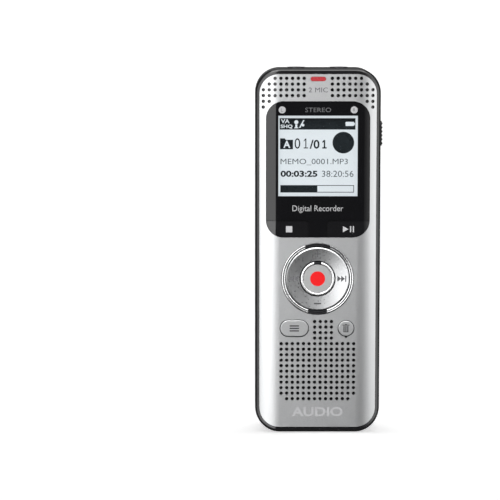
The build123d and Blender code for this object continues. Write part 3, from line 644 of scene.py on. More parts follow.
@dataclass(frozen=True)
class CellSleeve:
    """Printed sleeve of a battery cell: dark with a bright band at its nub end."""

    band_low_mm: float
    band_high_mm: float
    name: str = "cell_sleeve"
    body: Colour = (0.03, 0.035, 0.05)
    body_worn: Colour = (0.05, 0.055, 0.07)
    band: Colour = (0.62, 0.36, 0.12)

    def material(self) -> bpy.types.Material:
        """Make the material.

        Returns:
            The material.
        """
        s = Shader(self.name)
        _, _, z = s.place()
        band = (z > self.band_low_mm) * (z < self.band_high_mm)
        wear = s.noise(1.2, 3.0)
        colour = s.mix(wear, s.mix(band, self.body, self.band), s.mix(band, self.body_worn, self.band))
        rough = wear.ramp(0.3, 0.7, 0.18, 0.3)
        return s.surface(Base_Color=colour, Metallic=band * 0.7, Roughness=rough, Coat_Weight=0.4)


# ---------------------------------------------------------------- mesh tools


def cad(node: str) -> bpy.types.Object:
    """Give a CAD node's object."""
    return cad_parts[node]


def dress(node: str, material: bpy.types.Material) -> None:
    """Give a CAD node its material.

    Args:
        node: The node's name.
        material: What it wears.
    """
    target = cad(node)
    target.data.materials.clear()
    target.data.materials.append(material)


def middle_of(node: str) -> Vector:
    """Give the middle of a node's box."""
    low, high = (Vector(corner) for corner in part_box(node))
    return (low + high) / 2


class Surface:
    """The outside of a CAD node, to lay thin marks on."""

    def __init__(self, node: str, towards: float = 1.0) -> None:
        """Read a node.

        Args:
            node: The node's name.
            towards: 1 looks along +Y at the front, -1 looks along -Y at the back.
        """
        shape = cad(node)
        self.towards = towards
        self.tree = BVHTree.FromPolygons([v.co for v in shape.data.vertices],
                                         [p.vertices for p in shape.data.polygons])

    def depth(self, x: float, z: float) -> float:
        """Find the surface's Y under a point.

        Args:
            x: The point's X.
            z: The point's Z.

        Returns:
            The surface's Y, or 0 where the node has a hole.
        """
        start = Vector((x, -RAY_START * self.towards, z))
        hit = self.tree.ray_cast(start, Vector((0.0, self.towards, 0.0)))[0]
        return hit.y if hit else 0.0


def publish(name: str, shape: bmesh.types.BMesh, material: bpy.types.Material, body: str) -> bpy.types.Object:
    """Turn a bmesh into a finished piece that rides on a body.

    Args:
        name: The piece's name.
        shape: Its mesh, which is freed.
        material: What it wears.
        body: The body it rides on.

    Returns:
        The piece.
    """
    mesh = bpy.data.meshes.new(name)
    shape.to_mesh(mesh)
    shape.free()
    mesh.materials.append(material)
    for polygon in mesh.polygons:
        polygon.use_smooth = False
    piece = bpy.data.objects.new(name, mesh)
    bpy.context.scene.collection.objects.link(piece)
    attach(piece, body)
    LOG.info("made %s on %s", name, body)
    return piece


class Weight(Enum):
    """How heavy a letter's strokes are, as a share of its height."""

    LIGHT = -0.012
    REGULAR = 0.0
    BOLD = 0.022
    HEAVY = 0.035


def add_bar(shape: bmesh.types.BMesh, low: Point, high: Point, corner: float = 0.0) -> None:
    """Add a flat upright bar in X and Z.

    Args:
        shape: The mesh to add to.
        low: Its lower left corner.
        high: Its upper right corner.
        corner: The corners' radius.
    """
    made = bmesh.ops.create_grid(shape, x_segments=1, y_segments=1, size=0.5)["verts"]
    size = Matrix.Diagonal((high[0] - low[0], high[1] - low[1], 1.0, 1.0))
    middle = Vector(((low[0] + high[0]) / 2, 0.0, (low[1] + high[1]) / 2))
    upright = Matrix.Translation(middle) @ Matrix.Rotation(math.pi / 2, 4, "X") @ size
    bmesh.ops.transform(shape, matrix=upright, verts=made)
    if corner:
        bmesh.ops.bevel(shape, geom=made, offset=corner, offset_type="OFFSET", affect="VERTICES",
                        segments=5, profile=0.5, material=-1)


def add_disc(shape: bmesh.types.BMesh, centre: Point, radius: float, segments: int = 48) -> None:
    """Add a flat upright disc in X and Z.

    Args:
        shape: The mesh to add to.
        centre: Its centre.
        radius: Its radius.
        segments: How many sides it has.
    """
    made = bmesh.ops.create_circle(shape, cap_ends=True, segments=segments, radius=radius)["verts"]
    upright = Matrix.Translation((centre[0], 0.0, centre[1])) @ Matrix.Rotation(math.pi / 2, 4, "X")
    bmesh.ops.transform(shape, matrix=upright, verts=made)


def add_polygon(shape: bmesh.types.BMesh, corners: Iterable[Point]) -> None:
    """Add a flat upright polygon in X and Z.

    Args:
        shape: The mesh to add to.
        corners: Its corners in order.
    """
    shape.faces.new([shape.verts.new((x, 0.0, z)) for x, z in corners])


def add_sign(shape: bmesh.types.BMesh, centre: Point, size: float, stroke: float, plus: bool) -> None:
    """Add a flat upright plus or minus sign in X and Z.

    Args:
        shape: The mesh to add to.
        centre: Its centre.
        size: How long its bars are.
        stroke: How thick its bars are.
        plus: Whether it has its upright bar.
    """
    x, z = centre
    half, edge = size / 2, stroke / 2
    add_bar(shape, (x - half, z - edge), (x + half, z + edge))
    if plus:
        add_bar(shape, (x - edge, z + edge), (x + edge, z + half))
        add_bar(shape, (x - edge, z - half), (x + edge, z - edge))


def add_text(shape: bmesh.types.BMesh, text: str, middle: Point, height: float, width: float,
             weight: Weight = Weight.REGULAR) -> None:
    """Add flat upright lettering in X and Z, fitted to a box.

    Args:
        shape: The mesh to add to.
        text: The letters.
        middle: The box's middle.
        height: The box's height.
        width: The box's width.
        weight: How heavy the strokes are.
    """
    curve = bpy.data.curves.new("letters", "FONT")
    curve.body = text
    curve.offset = weight.value
    curve.resolution_u = TEXT_STEPS
    holder = bpy.data.objects.new("letters", curve)
    bpy.context.scene.collection.objects.link(holder)
    bpy.context.view_layer.update()
    mesh = bpy.data.meshes.new_from_object(holder)
    bpy.data.objects.remove(holder)
    letters = bmesh.new()
    letters.from_mesh(mesh)
    bpy.data.meshes.remove(mesh)
    xs = [v.co.x for v in letters.verts]
    ys = [v.co.y for v in letters.verts]
    across = width / (max(xs) - min(xs))
    up = height / (max(ys) - min(ys))
    for vertex in letters.verts:
        x = (vertex.co.x - (max(xs) + min(xs)) / 2) * across + middle[0]
        z = (vertex.co.y - (max(ys) + min(ys)) / 2) * up + middle[1]
        vertex.co = (x, 0.0, z)
    loose = bpy.data.meshes.new("letters")
    letters.to_mesh(loose)
    letters.free()
    shape.from_mesh(loose)
    bpy.data.meshes.remove(loose)


@dataclass
class Mark:
    """A thin printed or inlaid mark that follows the surface under it."""

    name: str
    surface: Surface
    body: str
    slot: str
    material: bpy.types.Material
    thickness: float = 0.02 * MM
    sink: float = 0.005 * MM
    spacing: float = 0.0

    def lay(self, draw: Callable[[bmesh.types.BMesh], None]) -> bpy.types.Object:
        """Draw the mark flat, cut it fine, thicken it and drop it on the surface.

        Args:
            draw: Adds the mark's flat faces, in X and Z.

        Returns:
            The finished piece.
        """
        shape = bmesh.new()
        draw(shape)
        bmesh.ops.remove_doubles(shape, verts=shape.verts, dist=WELD)
        if self.spacing:
            self.cut(shape)
        for face in shape.faces:
            face.normal_update()
            if face.normal.y * self.surface.towards > 0:
                face.normal_flip()
        back = bmesh.ops.extrude_face_region(shape, geom=list(shape.faces), use_keep_orig=True)
        rear = {v for v in back["geom"] if isinstance(v, bmesh.types.BMVert)}
        for vertex in shape.verts:
            ground = self.surface.depth(vertex.co.x, vertex.co.z)
            lift = -self.sink if vertex in rear else self.thickness
            vertex.co.y = ground - lift * self.surface.towards
        bmesh.ops.recalc_face_normals(shape, faces=shape.faces)
        return publish(self.name, shape, self.material, self.body)

    def write(self, text: str, middle: Point, height: float, width: float,
              weight: Weight = Weight.REGULAR) -> bpy.types.Object:
        """Lay lettering, fitted to a box.

        Args:
            text: The letters.
            middle: The box's middle.
            height: The box's height.
            width: The box's width.
            weight: How heavy the strokes are.

        Returns:
            The finished piece.
        """
        return self.lay(partial(add_text, text=text, middle=middle, height=height, width=width,
                                weight=weight))

    def cut(self, shape: bmesh.types.BMesh) -> None:
        """Slice the flat mark on a grid, so that it can bend over a curved surface.

        Args:
            shape: The mesh to add to.
        """
        for axis, normal in ((0, (1.0, 0.0, 0.0)), (2, (0.0, 0.0, 1.0))):
            places = [v.co[axis] for v in shape.verts]
            steps = int((max(places) - min(places)) / self.spacing)
            for step in range(1, steps + 1):
                origin = Vector((0.0, 0.0, 0.0))
                origin[axis] = min(places) + step * self.spacing
                geometry = [*shape.verts, *shape.edges, *shape.faces]
                bmesh.ops.bisect_plane(shape, geom=geometry, plane_co=origin, plane_no=normal)


# ---------------------------------------------------------------- sub-assemblies


@dataclass
class FrontPlate:
    """Silver plate with its grille, microphone holes and two printed words."""

    mic_word_drop: float = 3.3 * MM
    mic_word_height: float = 1.45 * MM
    mic_word_width: float = 5.8 * MM
    foot_word_z: float = 6.35 * MM
    foot_word_height: float = 2.9 * MM
    foot_word_width: float = 15.5 * MM

    def build(self) -> None:
        """Dress the plate and print the words."""
        dress("front_plate", BlastedSilver().material())
        word_z = middle_of("status_light_pipe").z - self.mic_word_drop
        plate = Surface("front_plate")
        grey = Ink("plate_print_grey", (0.05, 0.045, 0.055), 0.5).material()
        pale = Ink("plate_print_pale", (0.53, 0.53, 0.54), 0.45, 1.0).material()
        Mark("microphone_word", plate, "case", "silver_plate", grey).write(
            "2 MIC", (0.0, word_z), self.mic_word_height, self.mic_word_width)
        Mark("foot_word", plate, "case", "silver_plate", pale).write(
            "AUDIO", (0.0, self.foot_word_z), self.foot_word_height, self.foot_word_width, Weight.BOLD)


@dataclass
class CaseShells:
    """Black frame, rear shell, door and screws, and the marks printed on them."""

    arrow_drop: float = 11.0 * MM
    arrow_depth: float = 0.3 * MM
    sign_size: float = 2.6 * MM
    sign_stroke: float = 0.5 * MM
    sign_inset: float = 7.8 * MM

    def build(self) -> None:
        """Dress the shells and print the polarity signs."""
        dress("front_frame", GlossBlack().material())
        dress("rear_shell", SatinBlack().material())
        _, outer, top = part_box("battery_door")[1]
        door = SatinBlack("door_black", arrow_top_mm=(top - self.arrow_drop) / MM,
                          arrow_face_mm=(outer - self.arrow_depth) / MM)
        dress("battery_door", door.material())
        dress("case_screws", RolledMetal("black_screw", (0.10, 0.10, 0.105), 0.35).material())
        self.polarity_signs()

    def polarity_signs(self) -> None:
        """Lay the plus and minus signs on the floor of the battery bay."""
        white = Ink("polarity_white", (0.7, 0.7, 0.7), 0.6).material()
        floor = Surface("rear_shell", -1.0)
        for side, node, nub_up in (("left", "battery_left", True), ("right", "battery_right", False)):
            foot, head = (corner[2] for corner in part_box(node))
            ends = (head - self.sign_inset, foot + self.sign_inset)
            x = middle_of(node).x
            for word, z in zip(("plus", "minus"), ends if nub_up else reversed(ends)):
                draw = partial(add_sign, centre=(x, z), size=self.sign_size, stroke=self.sign_stroke,
                               plus=word == "plus")
                Mark(f"bay_{word}_{side}", floor, "case", "white_plastic", white).lay(draw)


@dataclass
class DisplayWindow:
    """Display glass with its printed border marks, and the screen behind it."""

    panel_margin: Point = (2.0 * MM, 1.65 * MM)
    disc_x: float = 10.85 * MM
    disc_drop: float = 2.5 * MM
    disc_radius: float = 1.06 * MM
    letter_height: float = 1.1 * MM
    letter_width: float = 0.682 * MM
    letter_span: Point = (0.03 * MM, -0.021 * MM)
    word_height: float = 1.35 * MM
    word_width: float = 7.8 * MM
    name_rise: float = 8.55 * MM
    name_height: float = 2.35 * MM
    name_width: float = 15.4 * MM

    def build(self) -> None:
        """Dress the glass and print its marks."""
        low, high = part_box("lcd_panel")
        low = ((low.x + self.panel_margin[0]) / MM, (low.z + self.panel_margin[1]) / MM)
        high = ((high.x - self.panel_margin[0]) / MM, (high.z - self.panel_margin[1]) / MM)
        dress("display_lens", WindowGlass(low, high).material())
        dress("lcd_panel", LitPanel().material())
        self.print_marks()
        ScreenContent().build()

    def print_marks(self) -> None:
        """Print the channel discs, the word between them and the plain name line."""
        glass = Surface("display_lens")
        low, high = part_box("display_lens")
        disc_z = high.z - self.disc_drop
        name_z = low.z + self.name_rise
        grey = Ink("glass_print_grey", (0.055, 0.055, 0.058), 0.5).material()
        silver = Ink("glass_print_silver", (0.24, 0.24, 0.245), 0.45).material()
        dark = Ink("glass_print_dark", (0.03, 0.03, 0.033), 0.5).material()
        for letter, x in (("L", -self.disc_x), ("R", self.disc_x)):
            centre = (x, disc_z)
            Mark(f"channel_disc_{letter}", glass, "case", "display_glass", silver).lay(
                partial(add_disc, centre=centre, radius=self.disc_radius))
            Mark(f"channel_letter_{letter}", glass, "case", "display_glass", dark, *self.letter_span).write(
                letter, centre, self.letter_height, self.letter_width, Weight.LIGHT)
        Mark("stereo_word", glass, "case", "display_glass", grey).write(
            "STEREO", (0.0, disc_z), self.word_height, self.word_width)
        Mark("name_line", glass, "case", "display_glass", silver).write(
            "Digital Recorder", (0.0, name_z), self.name_height, self.name_width)


@dataclass
class ScreenContent:
    """What the lit screen shows: a header, a folder, counters, a file line and a progress bar.

    Heights are measured from the screen's middle.
    """

    left: float = -11.6 * MM
    right: float = 11.35 * MM
    header: Point = (7.90 * MM, 11.35 * MM)
    folder: tuple[float, float, float, float] = (-11.45 * MM, 1.95 * MM, -7.55 * MM, 5.25 * MM)
    ball: tuple[float, float, float] = (7.7 * MM, 3.95 * MM, 3.28 * MM)
    bar: tuple[float, float, float, float] = (-11.35 * MM, -11.20 * MM, 11.0 * MM, -8.95 * MM)
    bar_fill: float = -0.1 * MM
    ones: tuple[tuple[float, float, float, float, float], ...] = (
        (-3.65 * MM, 3.70 * MM, 1.3 * MM, 3.0 * MM, 0.3 * MM),
        (2.0 * MM, 3.45 * MM, 1.3 * MM, 2.6 * MM, 0.42 * MM))
    one_flag: Point = (1.5, 0.26)
    outline: float = 0.2 * MM
    tab_share: Point = (0.45, 0.8)
    tab_rise: float = 0.45 * MM
    cell: tuple[Point, Point] = ((8.35 * MM, 9.00 * MM), (10.95 * MM, 10.25 * MM))
    cell_corner: float = 0.25 * MM
    cell_nub: tuple[Point, Point] = ((10.95 * MM, 9.35 * MM), (11.2 * MM, 9.90 * MM))
    voice_head: tuple[Point, float] = ((-6.55 * MM, 10.15 * MM), 0.62 * MM)
    voice_stem: tuple[Point, Point] = ((-6.85 * MM, 8.55 * MM), (-6.25 * MM, 9.45 * MM))
    voice_foot: tuple[Point, Point] = ((-7.15 * MM, 8.30 * MM), (-5.95 * MM, 8.55 * MM))
    voice_slash: tuple[Point, ...] = ((-5.7 * MM, 8.45 * MM), (-5.3 * MM, 8.45 * MM),
                                      (-4.1 * MM, 10.75 * MM), (-4.5 * MM, 10.75 * MM))
    voice_dot: tuple[Point, float] = ((-4.5 * MM, 9.25 * MM), 0.4 * MM)
    pale_lift: float = 0.022 * MM
    segment_height: float = 0.02 * MM
    segment_sink: float = 0.002 * MM
    dark: Colour = (0.007, 0.010, 0.012)
    grey: Colour = (0.065, 0.078, 0.086)
    pale: Colour = (0.14, 0.152, 0.16)
    lettering: list[tuple[str, str, Point, float, float, Weight, str]] = field(default_factory=lambda: [
        ("counter_large", "0", (-6.2 * MM, 3.70 * MM), 3.2 * MM, 1.75 * MM, Weight.REGULAR, "dark"),
        ("counter_total", "/0", (-1.0 * MM, 3.45 * MM), 2.75 * MM, 3.0 * MM, Weight.BOLD, "dark"),
        ("file_line", "MEMO_0001.MP3", (-1.1 * MM, -1.90 * MM), 1.95 * MM, 20.4 * MM, Weight.REGULAR,
         "grey"),
        ("time_run", "00:03:25", (-5.7 * MM, -5.50 * MM), 1.9 * MM, 11.2 * MM, Weight.HEAVY, "dark"),
        ("time_left", "38:20:56", (6.05 * MM, -5.50 * MM), 1.9 * MM, 9.6 * MM, Weight.REGULAR, "grey"),
        ("mode_top", "VA", (-9.9 * MM, 10.45 * MM), 1.25 * MM, 2.6 * MM, Weight.BOLD, "pale"),
        ("mode_low", "SHQ", (-9.5 * MM, 8.80 * MM), 1.25 * MM, 3.6 * MM, Weight.BOLD, "pale"),
        ("folder_letter", "A", (-9.4 * MM, 3.45 * MM), 2.2 * MM, 2.1 * MM, Weight.BOLD, "pale"),
    ])

    def build(self) -> None:
        """Lay the dark segments on the panel and the pale ones on top of them."""
        inks = {
            "dark": Ink("segment_dark", self.dark, 0.5, specular=0.08).material(),
            "grey": Ink("segment_grey", self.grey, 0.5, specular=0.08).material(),
            "pale": Ink("segment_pale", self.pale, 0.5, glow=4.2).material(),
        }
        panel = Surface("lcd_panel")
        shapes = {
            "header_bar": ("dark", self.draw_header),
            "folder_sign": ("dark", self.draw_folder),
            "counter_ones": ("dark", self.draw_ones),
            "status_ball": ("dark", partial(add_disc, centre=self.ball[:2], radius=self.ball[2],
                                            segments=56)),
            "progress_bar": ("dark", self.draw_progress),
            "battery_sign": ("pale", self.draw_battery),
            "voice_sign": ("pale", self.draw_voice),
        }
        for name, (ink, draw) in shapes.items():
            self.lay(name, ink, draw, panel, inks)
        for name, text, middle, height, width, weight, ink in self.lettering:
            draw = partial(add_text, text=text, middle=middle, height=height, width=width, weight=weight)
            self.lay(name, ink, draw, panel, inks)

    def lay(self, name: str, ink: str, draw: Callable[[bmesh.types.BMesh], None], panel: Surface,
            inks: dict[str, bpy.types.Material]) -> None:
        """Lay one segment, with the pale ones above the dark ones.

        Args:
            name: The segment's name.
            ink: The ink's key.
            draw: Adds its flat faces.
            panel: The screen's surface.
            inks: The materials by key.
        """
        above = self.pale_lift if ink == "pale" else 0.0
        base = Vector((0.0, 0.0, middle_of("lcd_panel").z))

        def draw_in_place(shape: bmesh.types.BMesh) -> None:
            """Draw the segment and lift it to the screen's middle."""
            draw(shape)
            bmesh.ops.translate(shape, verts=shape.verts, vec=base)

        Mark(f"screen_{name}", panel, "case", "lcd_glass", inks[ink], self.segment_height + above,
             self.segment_sink - above).lay(draw_in_place)

    def draw_header(self, shape: bmesh.types.BMesh) -> None:
        """Draw the header bar."""
        add_bar(shape, (self.left, self.header[0]), (self.right, self.header[1]))

    def draw_folder(self, shape: bmesh.types.BMesh) -> None:
        """Draw the folder: a body and a tab.

        Args:
            shape: The mesh to add to.
        """
        x0, z0, x1, z1 = self.folder
        foot_share, top_share = self.tab_share
        tab = (x1 - x0) * foot_share
        low = z1 - self.tab_rise
        add_polygon(shape, [(x0, z0), (x1, z0), (x1, low), (x0 + tab, low), (x0 + tab * top_share, z1),
                            (x0, z1)])

    def draw_ones(self, shape: bmesh.types.BMesh) -> None:
        """Draw the ones of the two counters: a stem with a flag and a foot.

        Args:
            shape: The mesh to add to.
        """
        stem_share, flag_share = self.one_flag
        for x, z, width, height, stroke in self.ones:
            foot, head = z - height / 2, z + height / 2
            left, right = x - stroke / 2, x + stroke / 2
            add_bar(shape, (x - width / 2, foot), (x + width / 2, foot + stroke))
            add_bar(shape, (left, foot + stroke), (right, head))
            tip = head - flag_share * height
            add_polygon(shape, [(left, head), (left, head - stem_share * stroke),
                                (x - width / 2, tip - stroke / 2), (x - width / 2, tip + stroke / 2)])

    def draw_progress(self, shape: bmesh.types.BMesh) -> None:
        """Draw the progress bar: a thin outline filled up to the present place.

        Args:
            shape: The mesh to add to.
        """
        x0, z0, x1, z1 = self.bar
        line = self.outline
        add_bar(shape, (x0, z0), (self.bar_fill, z1))
        add_bar(shape, (self.bar_fill, z0), (x1, z0 + line))
        add_bar(shape, (self.bar_fill, z1 - line), (x1, z1))
        add_bar(shape, (x1 - line, z0 + line), (x1, z1 - line))

    def draw_battery(self, shape: bmesh.types.BMesh) -> None:
        """Draw the battery sign at the header's right end."""
        add_bar(shape, *self.cell, self.cell_corner)
        add_bar(shape, *self.cell_nub)

    def draw_voice(self, shape: bmesh.types.BMesh) -> None:
        """Draw the microphone sign with the stroke through it.

        Args:
            shape: The mesh to add to.
        """
        add_disc(shape, *self.voice_head, 24)
        add_bar(shape, *self.voice_stem)
        add_bar(shape, *self.voice_foot)
        add_polygon(shape, self.voice_slash)
        add_disc(shape, *self.voice_dot, 16)


@dataclass
class SoftKeys:
    """Stop and play keys at the foot of the glass, with their signs."""

    stop_x: float = -8.7 * MM
    sign_half: float = 0.95 * MM
    play_left: float = 7.6 * MM
    play_point: float = 9.3 * MM
    pause_bars: tuple[Point, Point] = ((9.75 * MM, 10.12 * MM), (10.6 * MM, 10.97 * MM))

    def build(self) -> None:
        """Dress the keys and print the signs."""
        gloss = GlossBlack("key_gloss", (0.003, 0.003, 0.0035), 0.06).material()
        silver = Ink("key_print_silver", (0.28, 0.28, 0.285), 0.45).material()
        dress("stop_key", gloss)
        dress("play_key", gloss)
        x, z, half = self.stop_x, middle_of("stop_key").z, self.sign_half

        def draw_play(shape: bmesh.types.BMesh) -> None:
            """Draw the triangle and the two bars.

            Args:
                shape: The mesh to add to.
            """
            add_polygon(shape, [(self.play_left, z - half), (self.play_point, z),
                                (self.play_left, z + half)])
            for left, right in self.pause_bars:
                add_bar(shape, (left, z - half), (right, z + half))

        Mark("stop_sign", Surface("stop_key"), "stop_key", "gloss_key", silver).lay(
            lambda shape: add_bar(shape, (x - half, z - half), (x + half, z + half)))
        Mark("play_sign", Surface("play_key"), "play_key", "gloss_key", silver).lay(draw_play)


@dataclass
class NavigationRing:
    """Tilting ring with its bright bezel and signs, and the record key in its middle."""

    sign_radius: float = 7.6 * MM
    sign_thickness: float = 0.05 * MM
    sign_spacing: float = 0.25 * MM
    plus_size: float = 1.9 * MM
    plus_stroke: float = 0.24 * MM
    minus_size: float = 2.2 * MM
    minus_stroke: float = 0.42 * MM
    skip_half: float = 0.95 * MM
    skip_length: float = 1.15 * MM
    skip_gap: float = 0.08 * MM
    skip_bar: float = 0.32 * MM
    skip_inset: float = 1.61 * MM
    bezel_arcs_mm: Point = (3.8, 2.9)
    bezel_arc_radii_mm: Point = (9.7, 10.9)
    bezel_crests_mm: Point = (10.02, 0.65)
    trim_arc_mm: float = 1.12
    trim_arc_radii_mm: Point = (4.2, 5.3)

    def build(self) -> None:
        """Dress the rings and the key and print the signs."""
        z = middle_of("nav_ring").z
        # the bezel and the trim get dark arcs painted in as reflection at top and foot, and the bezel painted
        # shade in its grooves
        bezel = Plating(z / MM, *self.bezel_arcs_mm, self.bezel_arc_radii_mm, *self.bezel_crests_mm,
                        name="bezel_plating")
        trim = Plating(z / MM, self.trim_arc_mm, 0.0, self.trim_arc_radii_mm, name="trim_plating",
                       roughness=0.3)
        dress("nav_bezel", bezel.material())
        dress("record_key_trim", trim.material())
        dress("nav_ring", SpunMetal(z / MM).material())
        # the record key's sides, deeper than 0.6 mm behind its face, are painted near black as shade in its
        # gap
        silver = BlastedSilver("record_key_silver", (0.46, 0.465, 0.465), 0.40, shade_start_depth_mm=0.6)
        dress("record_key", silver.material())
        # the dot's glow of 0.2 is painted light: the dot is no lamp
        red = Moulded("record_red", (0.42, 0.005, 0.006), 0.38, 0.3, 0.003, 0.2, specular=0.15)
        dress("record_dot", red.material())
        self.print_signs(z)

    def print_signs(self, centre: float) -> None:
        """Print the plus, minus and skip signs on the ring.

        Args:
            centre: The ring's height.
        """
        ring = Surface("nav_ring")
        dark = Ink("ring_print_dark", (0.035, 0.035, 0.038), 0.5).material()
        faint = Ink("ring_print_grey", (0.075, 0.075, 0.08), 0.6).material()
        signs = {
            "plus_sign": (faint, partial(add_sign, centre=(0.0, centre + self.sign_radius),
                                         size=self.plus_size, stroke=self.plus_stroke, plus=True)),
            "minus_sign": (dark, partial(add_sign, centre=(0.0, centre - self.sign_radius),
                                         size=self.minus_size, stroke=self.minus_stroke, plus=False)),
            "next_sign": (dark, partial(self.draw_skip, z=centre, side=1)),
            "previous_sign": (faint, partial(self.draw_skip, z=centre, side=-1)),
        }
        for name, (ink, draw) in signs.items():
            Mark(name, ring, "nav_wheel", "spun_silver", ink, self.sign_thickness,
                 spacing=self.sign_spacing).lay(draw)

    def draw_skip(self, shape: bmesh.types.BMesh, z: float, side: int) -> None:
        """Draw the two triangles and the bar of a skip sign.

        Args:
            shape: The mesh to add to.
            z: The sign's height.
            side: 1 for next on the right, -1 for previous on the left.
        """
        start = self.sign_radius - self.skip_inset
        for step in range(2):
            x = start + step * self.skip_length
            add_polygon(shape, [(side * x, z - self.skip_half), (side * (x + self.skip_length), z),
                                (side * x, z + self.skip_half)])
        x = start + 2 * self.skip_length + self.skip_gap
        ends = sorted((side * x, side * (x + self.skip_bar)))
        add_bar(shape, (ends[0], z - self.skip_half), (ends[1], z + self.skip_half))


@dataclass
class LowerKeys:
    """Menu and delete keys with their signs."""

    bar_width: float = 2.86 * MM
    bar_stroke: float = 0.40 * MM
    bar_pitch: float = 0.76 * MM
    bin_half: float = 0.7875 * MM
    bin_right: float = 0.7175 * MM
    bin_top: float = 0.8 * MM
    bin_foot: float = 1.152 * MM
    bin_base: float = 0.18 * MM
    rib_width: float = 0.35 * MM
    rib_pitch: float = 0.5775 * MM
    lid_half: float = 1.05 * MM
    lid_span: Point = (0.10 * MM, 0.34 * MM)
    handle_half: float = 0.35 * MM
    handle_top: float = 0.52 * MM

    def build(self) -> None:
        """Dress the keys and print the signs."""
        silver = BlastedSilver("lower_key_silver", (0.49, 0.495, 0.50), 0.35).material()
        dress("menu_key", silver)
        dress("delete_key", silver)
        dark = Ink("lower_print_dark", (0.022, 0.022, 0.024), 0.5).material()
        Mark("menu_sign", Surface("menu_key"), "menu_key", "silver_key", dark).lay(self.draw_menu)
        Mark("delete_sign", Surface("delete_key"), "delete_key", "silver_key", dark).lay(self.draw_bin)

    def draw_menu(self, shape: bmesh.types.BMesh) -> None:
        """Draw the three bars.

        Args:
            shape: The mesh to add to.
        """
        middle = middle_of("menu_key")
        for step in (-1, 0, 1):
            z = middle.z + step * self.bar_pitch
            add_bar(shape, (middle.x - self.bar_width / 2, z - self.bar_stroke / 2),
                    (middle.x + self.bar_width / 2, z + self.bar_stroke / 2))

    def draw_bin(self, shape: bmesh.types.BMesh) -> None:
        """Draw the waste bin: a lid with its handle and a ribbed body.

        Args:
            shape: The mesh to add to.
        """
        middle = middle_of("delete_key")
        x = middle.x
        top, foot = middle.z + self.bin_top, middle.z - self.bin_foot
        lid_low, lid_high = (top + rise for rise in self.lid_span)
        add_bar(shape, (x - self.lid_half, lid_low), (x + self.lid_half, lid_high))
        add_bar(shape, (x - self.handle_half, lid_high), (x + self.handle_half, top + self.handle_top))
        for index in range(3):
            left = x - self.bin_half + index * self.rib_pitch
            add_bar(shape, (left, foot + self.bin_base), (left + self.rib_width, top))
        add_bar(shape, (x - self.bin_half, foot), (x + self.bin_right, foot + self.bin_base))


@dataclass
class SideSlider:
    """Power slider and its bezel on the right-hand side, and the switch behind them."""

    def build(self) -> None:
        """Dress the slider's pieces."""
        dress("slider_bezel", GlossBlack("slider_bezel_black", (0.008, 0.008, 0.009), 0.16).material())
        dress("power_slider", Moulded("slider_grey", (0.03, 0.03, 0.031), 0.34, 0.3).material())
        dress("slide_switch", RolledMetal("switch_steel", (0.62, 0.62, 0.61), 0.28).material())
        dress("slide_switch_lever", Moulded("lever_black", (0.03, 0.03, 0.03), 0.5).material())


@dataclass
class StatusLight:
    """Red light window at the top and the lamp behind it."""

    def build(self) -> None:
        """Dress the pipe and the lamp."""
        pipe = Moulded("light_pipe_red", (0.22, 0.010, 0.014), 0.3, 0.5, 0.003, 0.25)
        dress("status_light_pipe", pipe.material())
        dress("status_led", Moulded("lamp_white", (0.8, 0.78, 0.72), 0.4).material())


@dataclass
class Sockets:
    """The two jacks on the top end and the data socket in the bottom end."""

    def build(self) -> None:
        """Dress the sockets and their contacts."""
        dress("headphone_jack", Moulded("jack_black", (0.02, 0.02, 0.022), 0.35).material())
        dress("microphone_jack", Moulded("jack_black_two", (0.02, 0.02, 0.022), 0.35).material())
        dress("jack_contacts", RolledMetal("gold_tabs", (0.80, 0.62, 0.28), 0.25).material())
        dress("usb_socket", RolledMetal("tinned_shell", (0.66, 0.66, 0.66), 0.25).material())
        dress("usb_tongue", Moulded("tongue_black", (0.015, 0.015, 0.016), 0.4).material())


@dataclass
class SoundParts:
    """Loudspeaker and microphone pieces."""

    def build(self) -> None:
        """Dress the sound pieces."""
        cloth = WovenCloth().material()
        rubber = Moulded("boot_rubber", (0.028, 0.028, 0.03), 0.7, 0.25, 0.02).material()
        can = RolledMetal("capsule_can", (0.74, 0.74, 0.74), 0.3).material()
        dress("speaker_frame", Moulded("basket_black", (0.025, 0.025, 0.025), 0.5).material())
        dress("speaker_magnet", RolledMetal("magnet_steel", (0.5, 0.5, 0.49), 0.35).material())
        dress("speaker_cone", WovenCloth("cone_fibre", (0.06, 0.058, 0.055), 0.35).material())
        dress("speaker_leads", Moulded("lead_red", (0.45, 0.03, 0.03), 0.4).material())
        for node in ("speaker_cloth", "mic_cloth"):
            dress(node, cloth)
        dress("speaker_gasket", WovenCloth("black_foam", (0.02, 0.02, 0.021), 0.5).material())
        for side in ("left", "right"):
            dress(f"mic_capsule_{side}", can)
            dress(f"mic_boot_{side}", rubber)


@dataclass
class Electronics:
    """Board, chips, display stack and key mat."""

    def build(self) -> None:
        """Dress the pieces that the case hides."""
        epoxy = Moulded("chip_epoxy", (0.02, 0.02, 0.021), 0.55, 0.2, 0.01).material()
        steel = RolledMetal("dome_steel", (0.64, 0.64, 0.62), 0.25).material()
        dress("main_board", CircuitBoard().material())
        for node in ("processor_chip", "memory_chip", "board_parts"):
            dress(node, epoxy)
        dress("crystal", steel)
        dress("dome_switches", steel)
        dress("lcd_backlight", Moulded("tray_white", (0.78, 0.78, 0.77), 0.5).material())
        dress("lcd_holder", Moulded("holder_white", (0.80, 0.80, 0.79), 0.45).material())
        dress("lcd_flex", Moulded("film_amber", (0.45, 0.22, 0.04), 0.25, 0.6, 0.004).material())
        dress("display_gasket", WovenCloth("gasket_foam", (0.02, 0.02, 0.02), 0.4).material())
        dress("rubber_keypad", Moulded("mat_rubber", (0.10, 0.10, 0.105), 0.7, 0.3, 0.02).material())
        dress("nav_support_ring", Moulded("carrier_black", (0.03, 0.03, 0.032), 0.45).material())


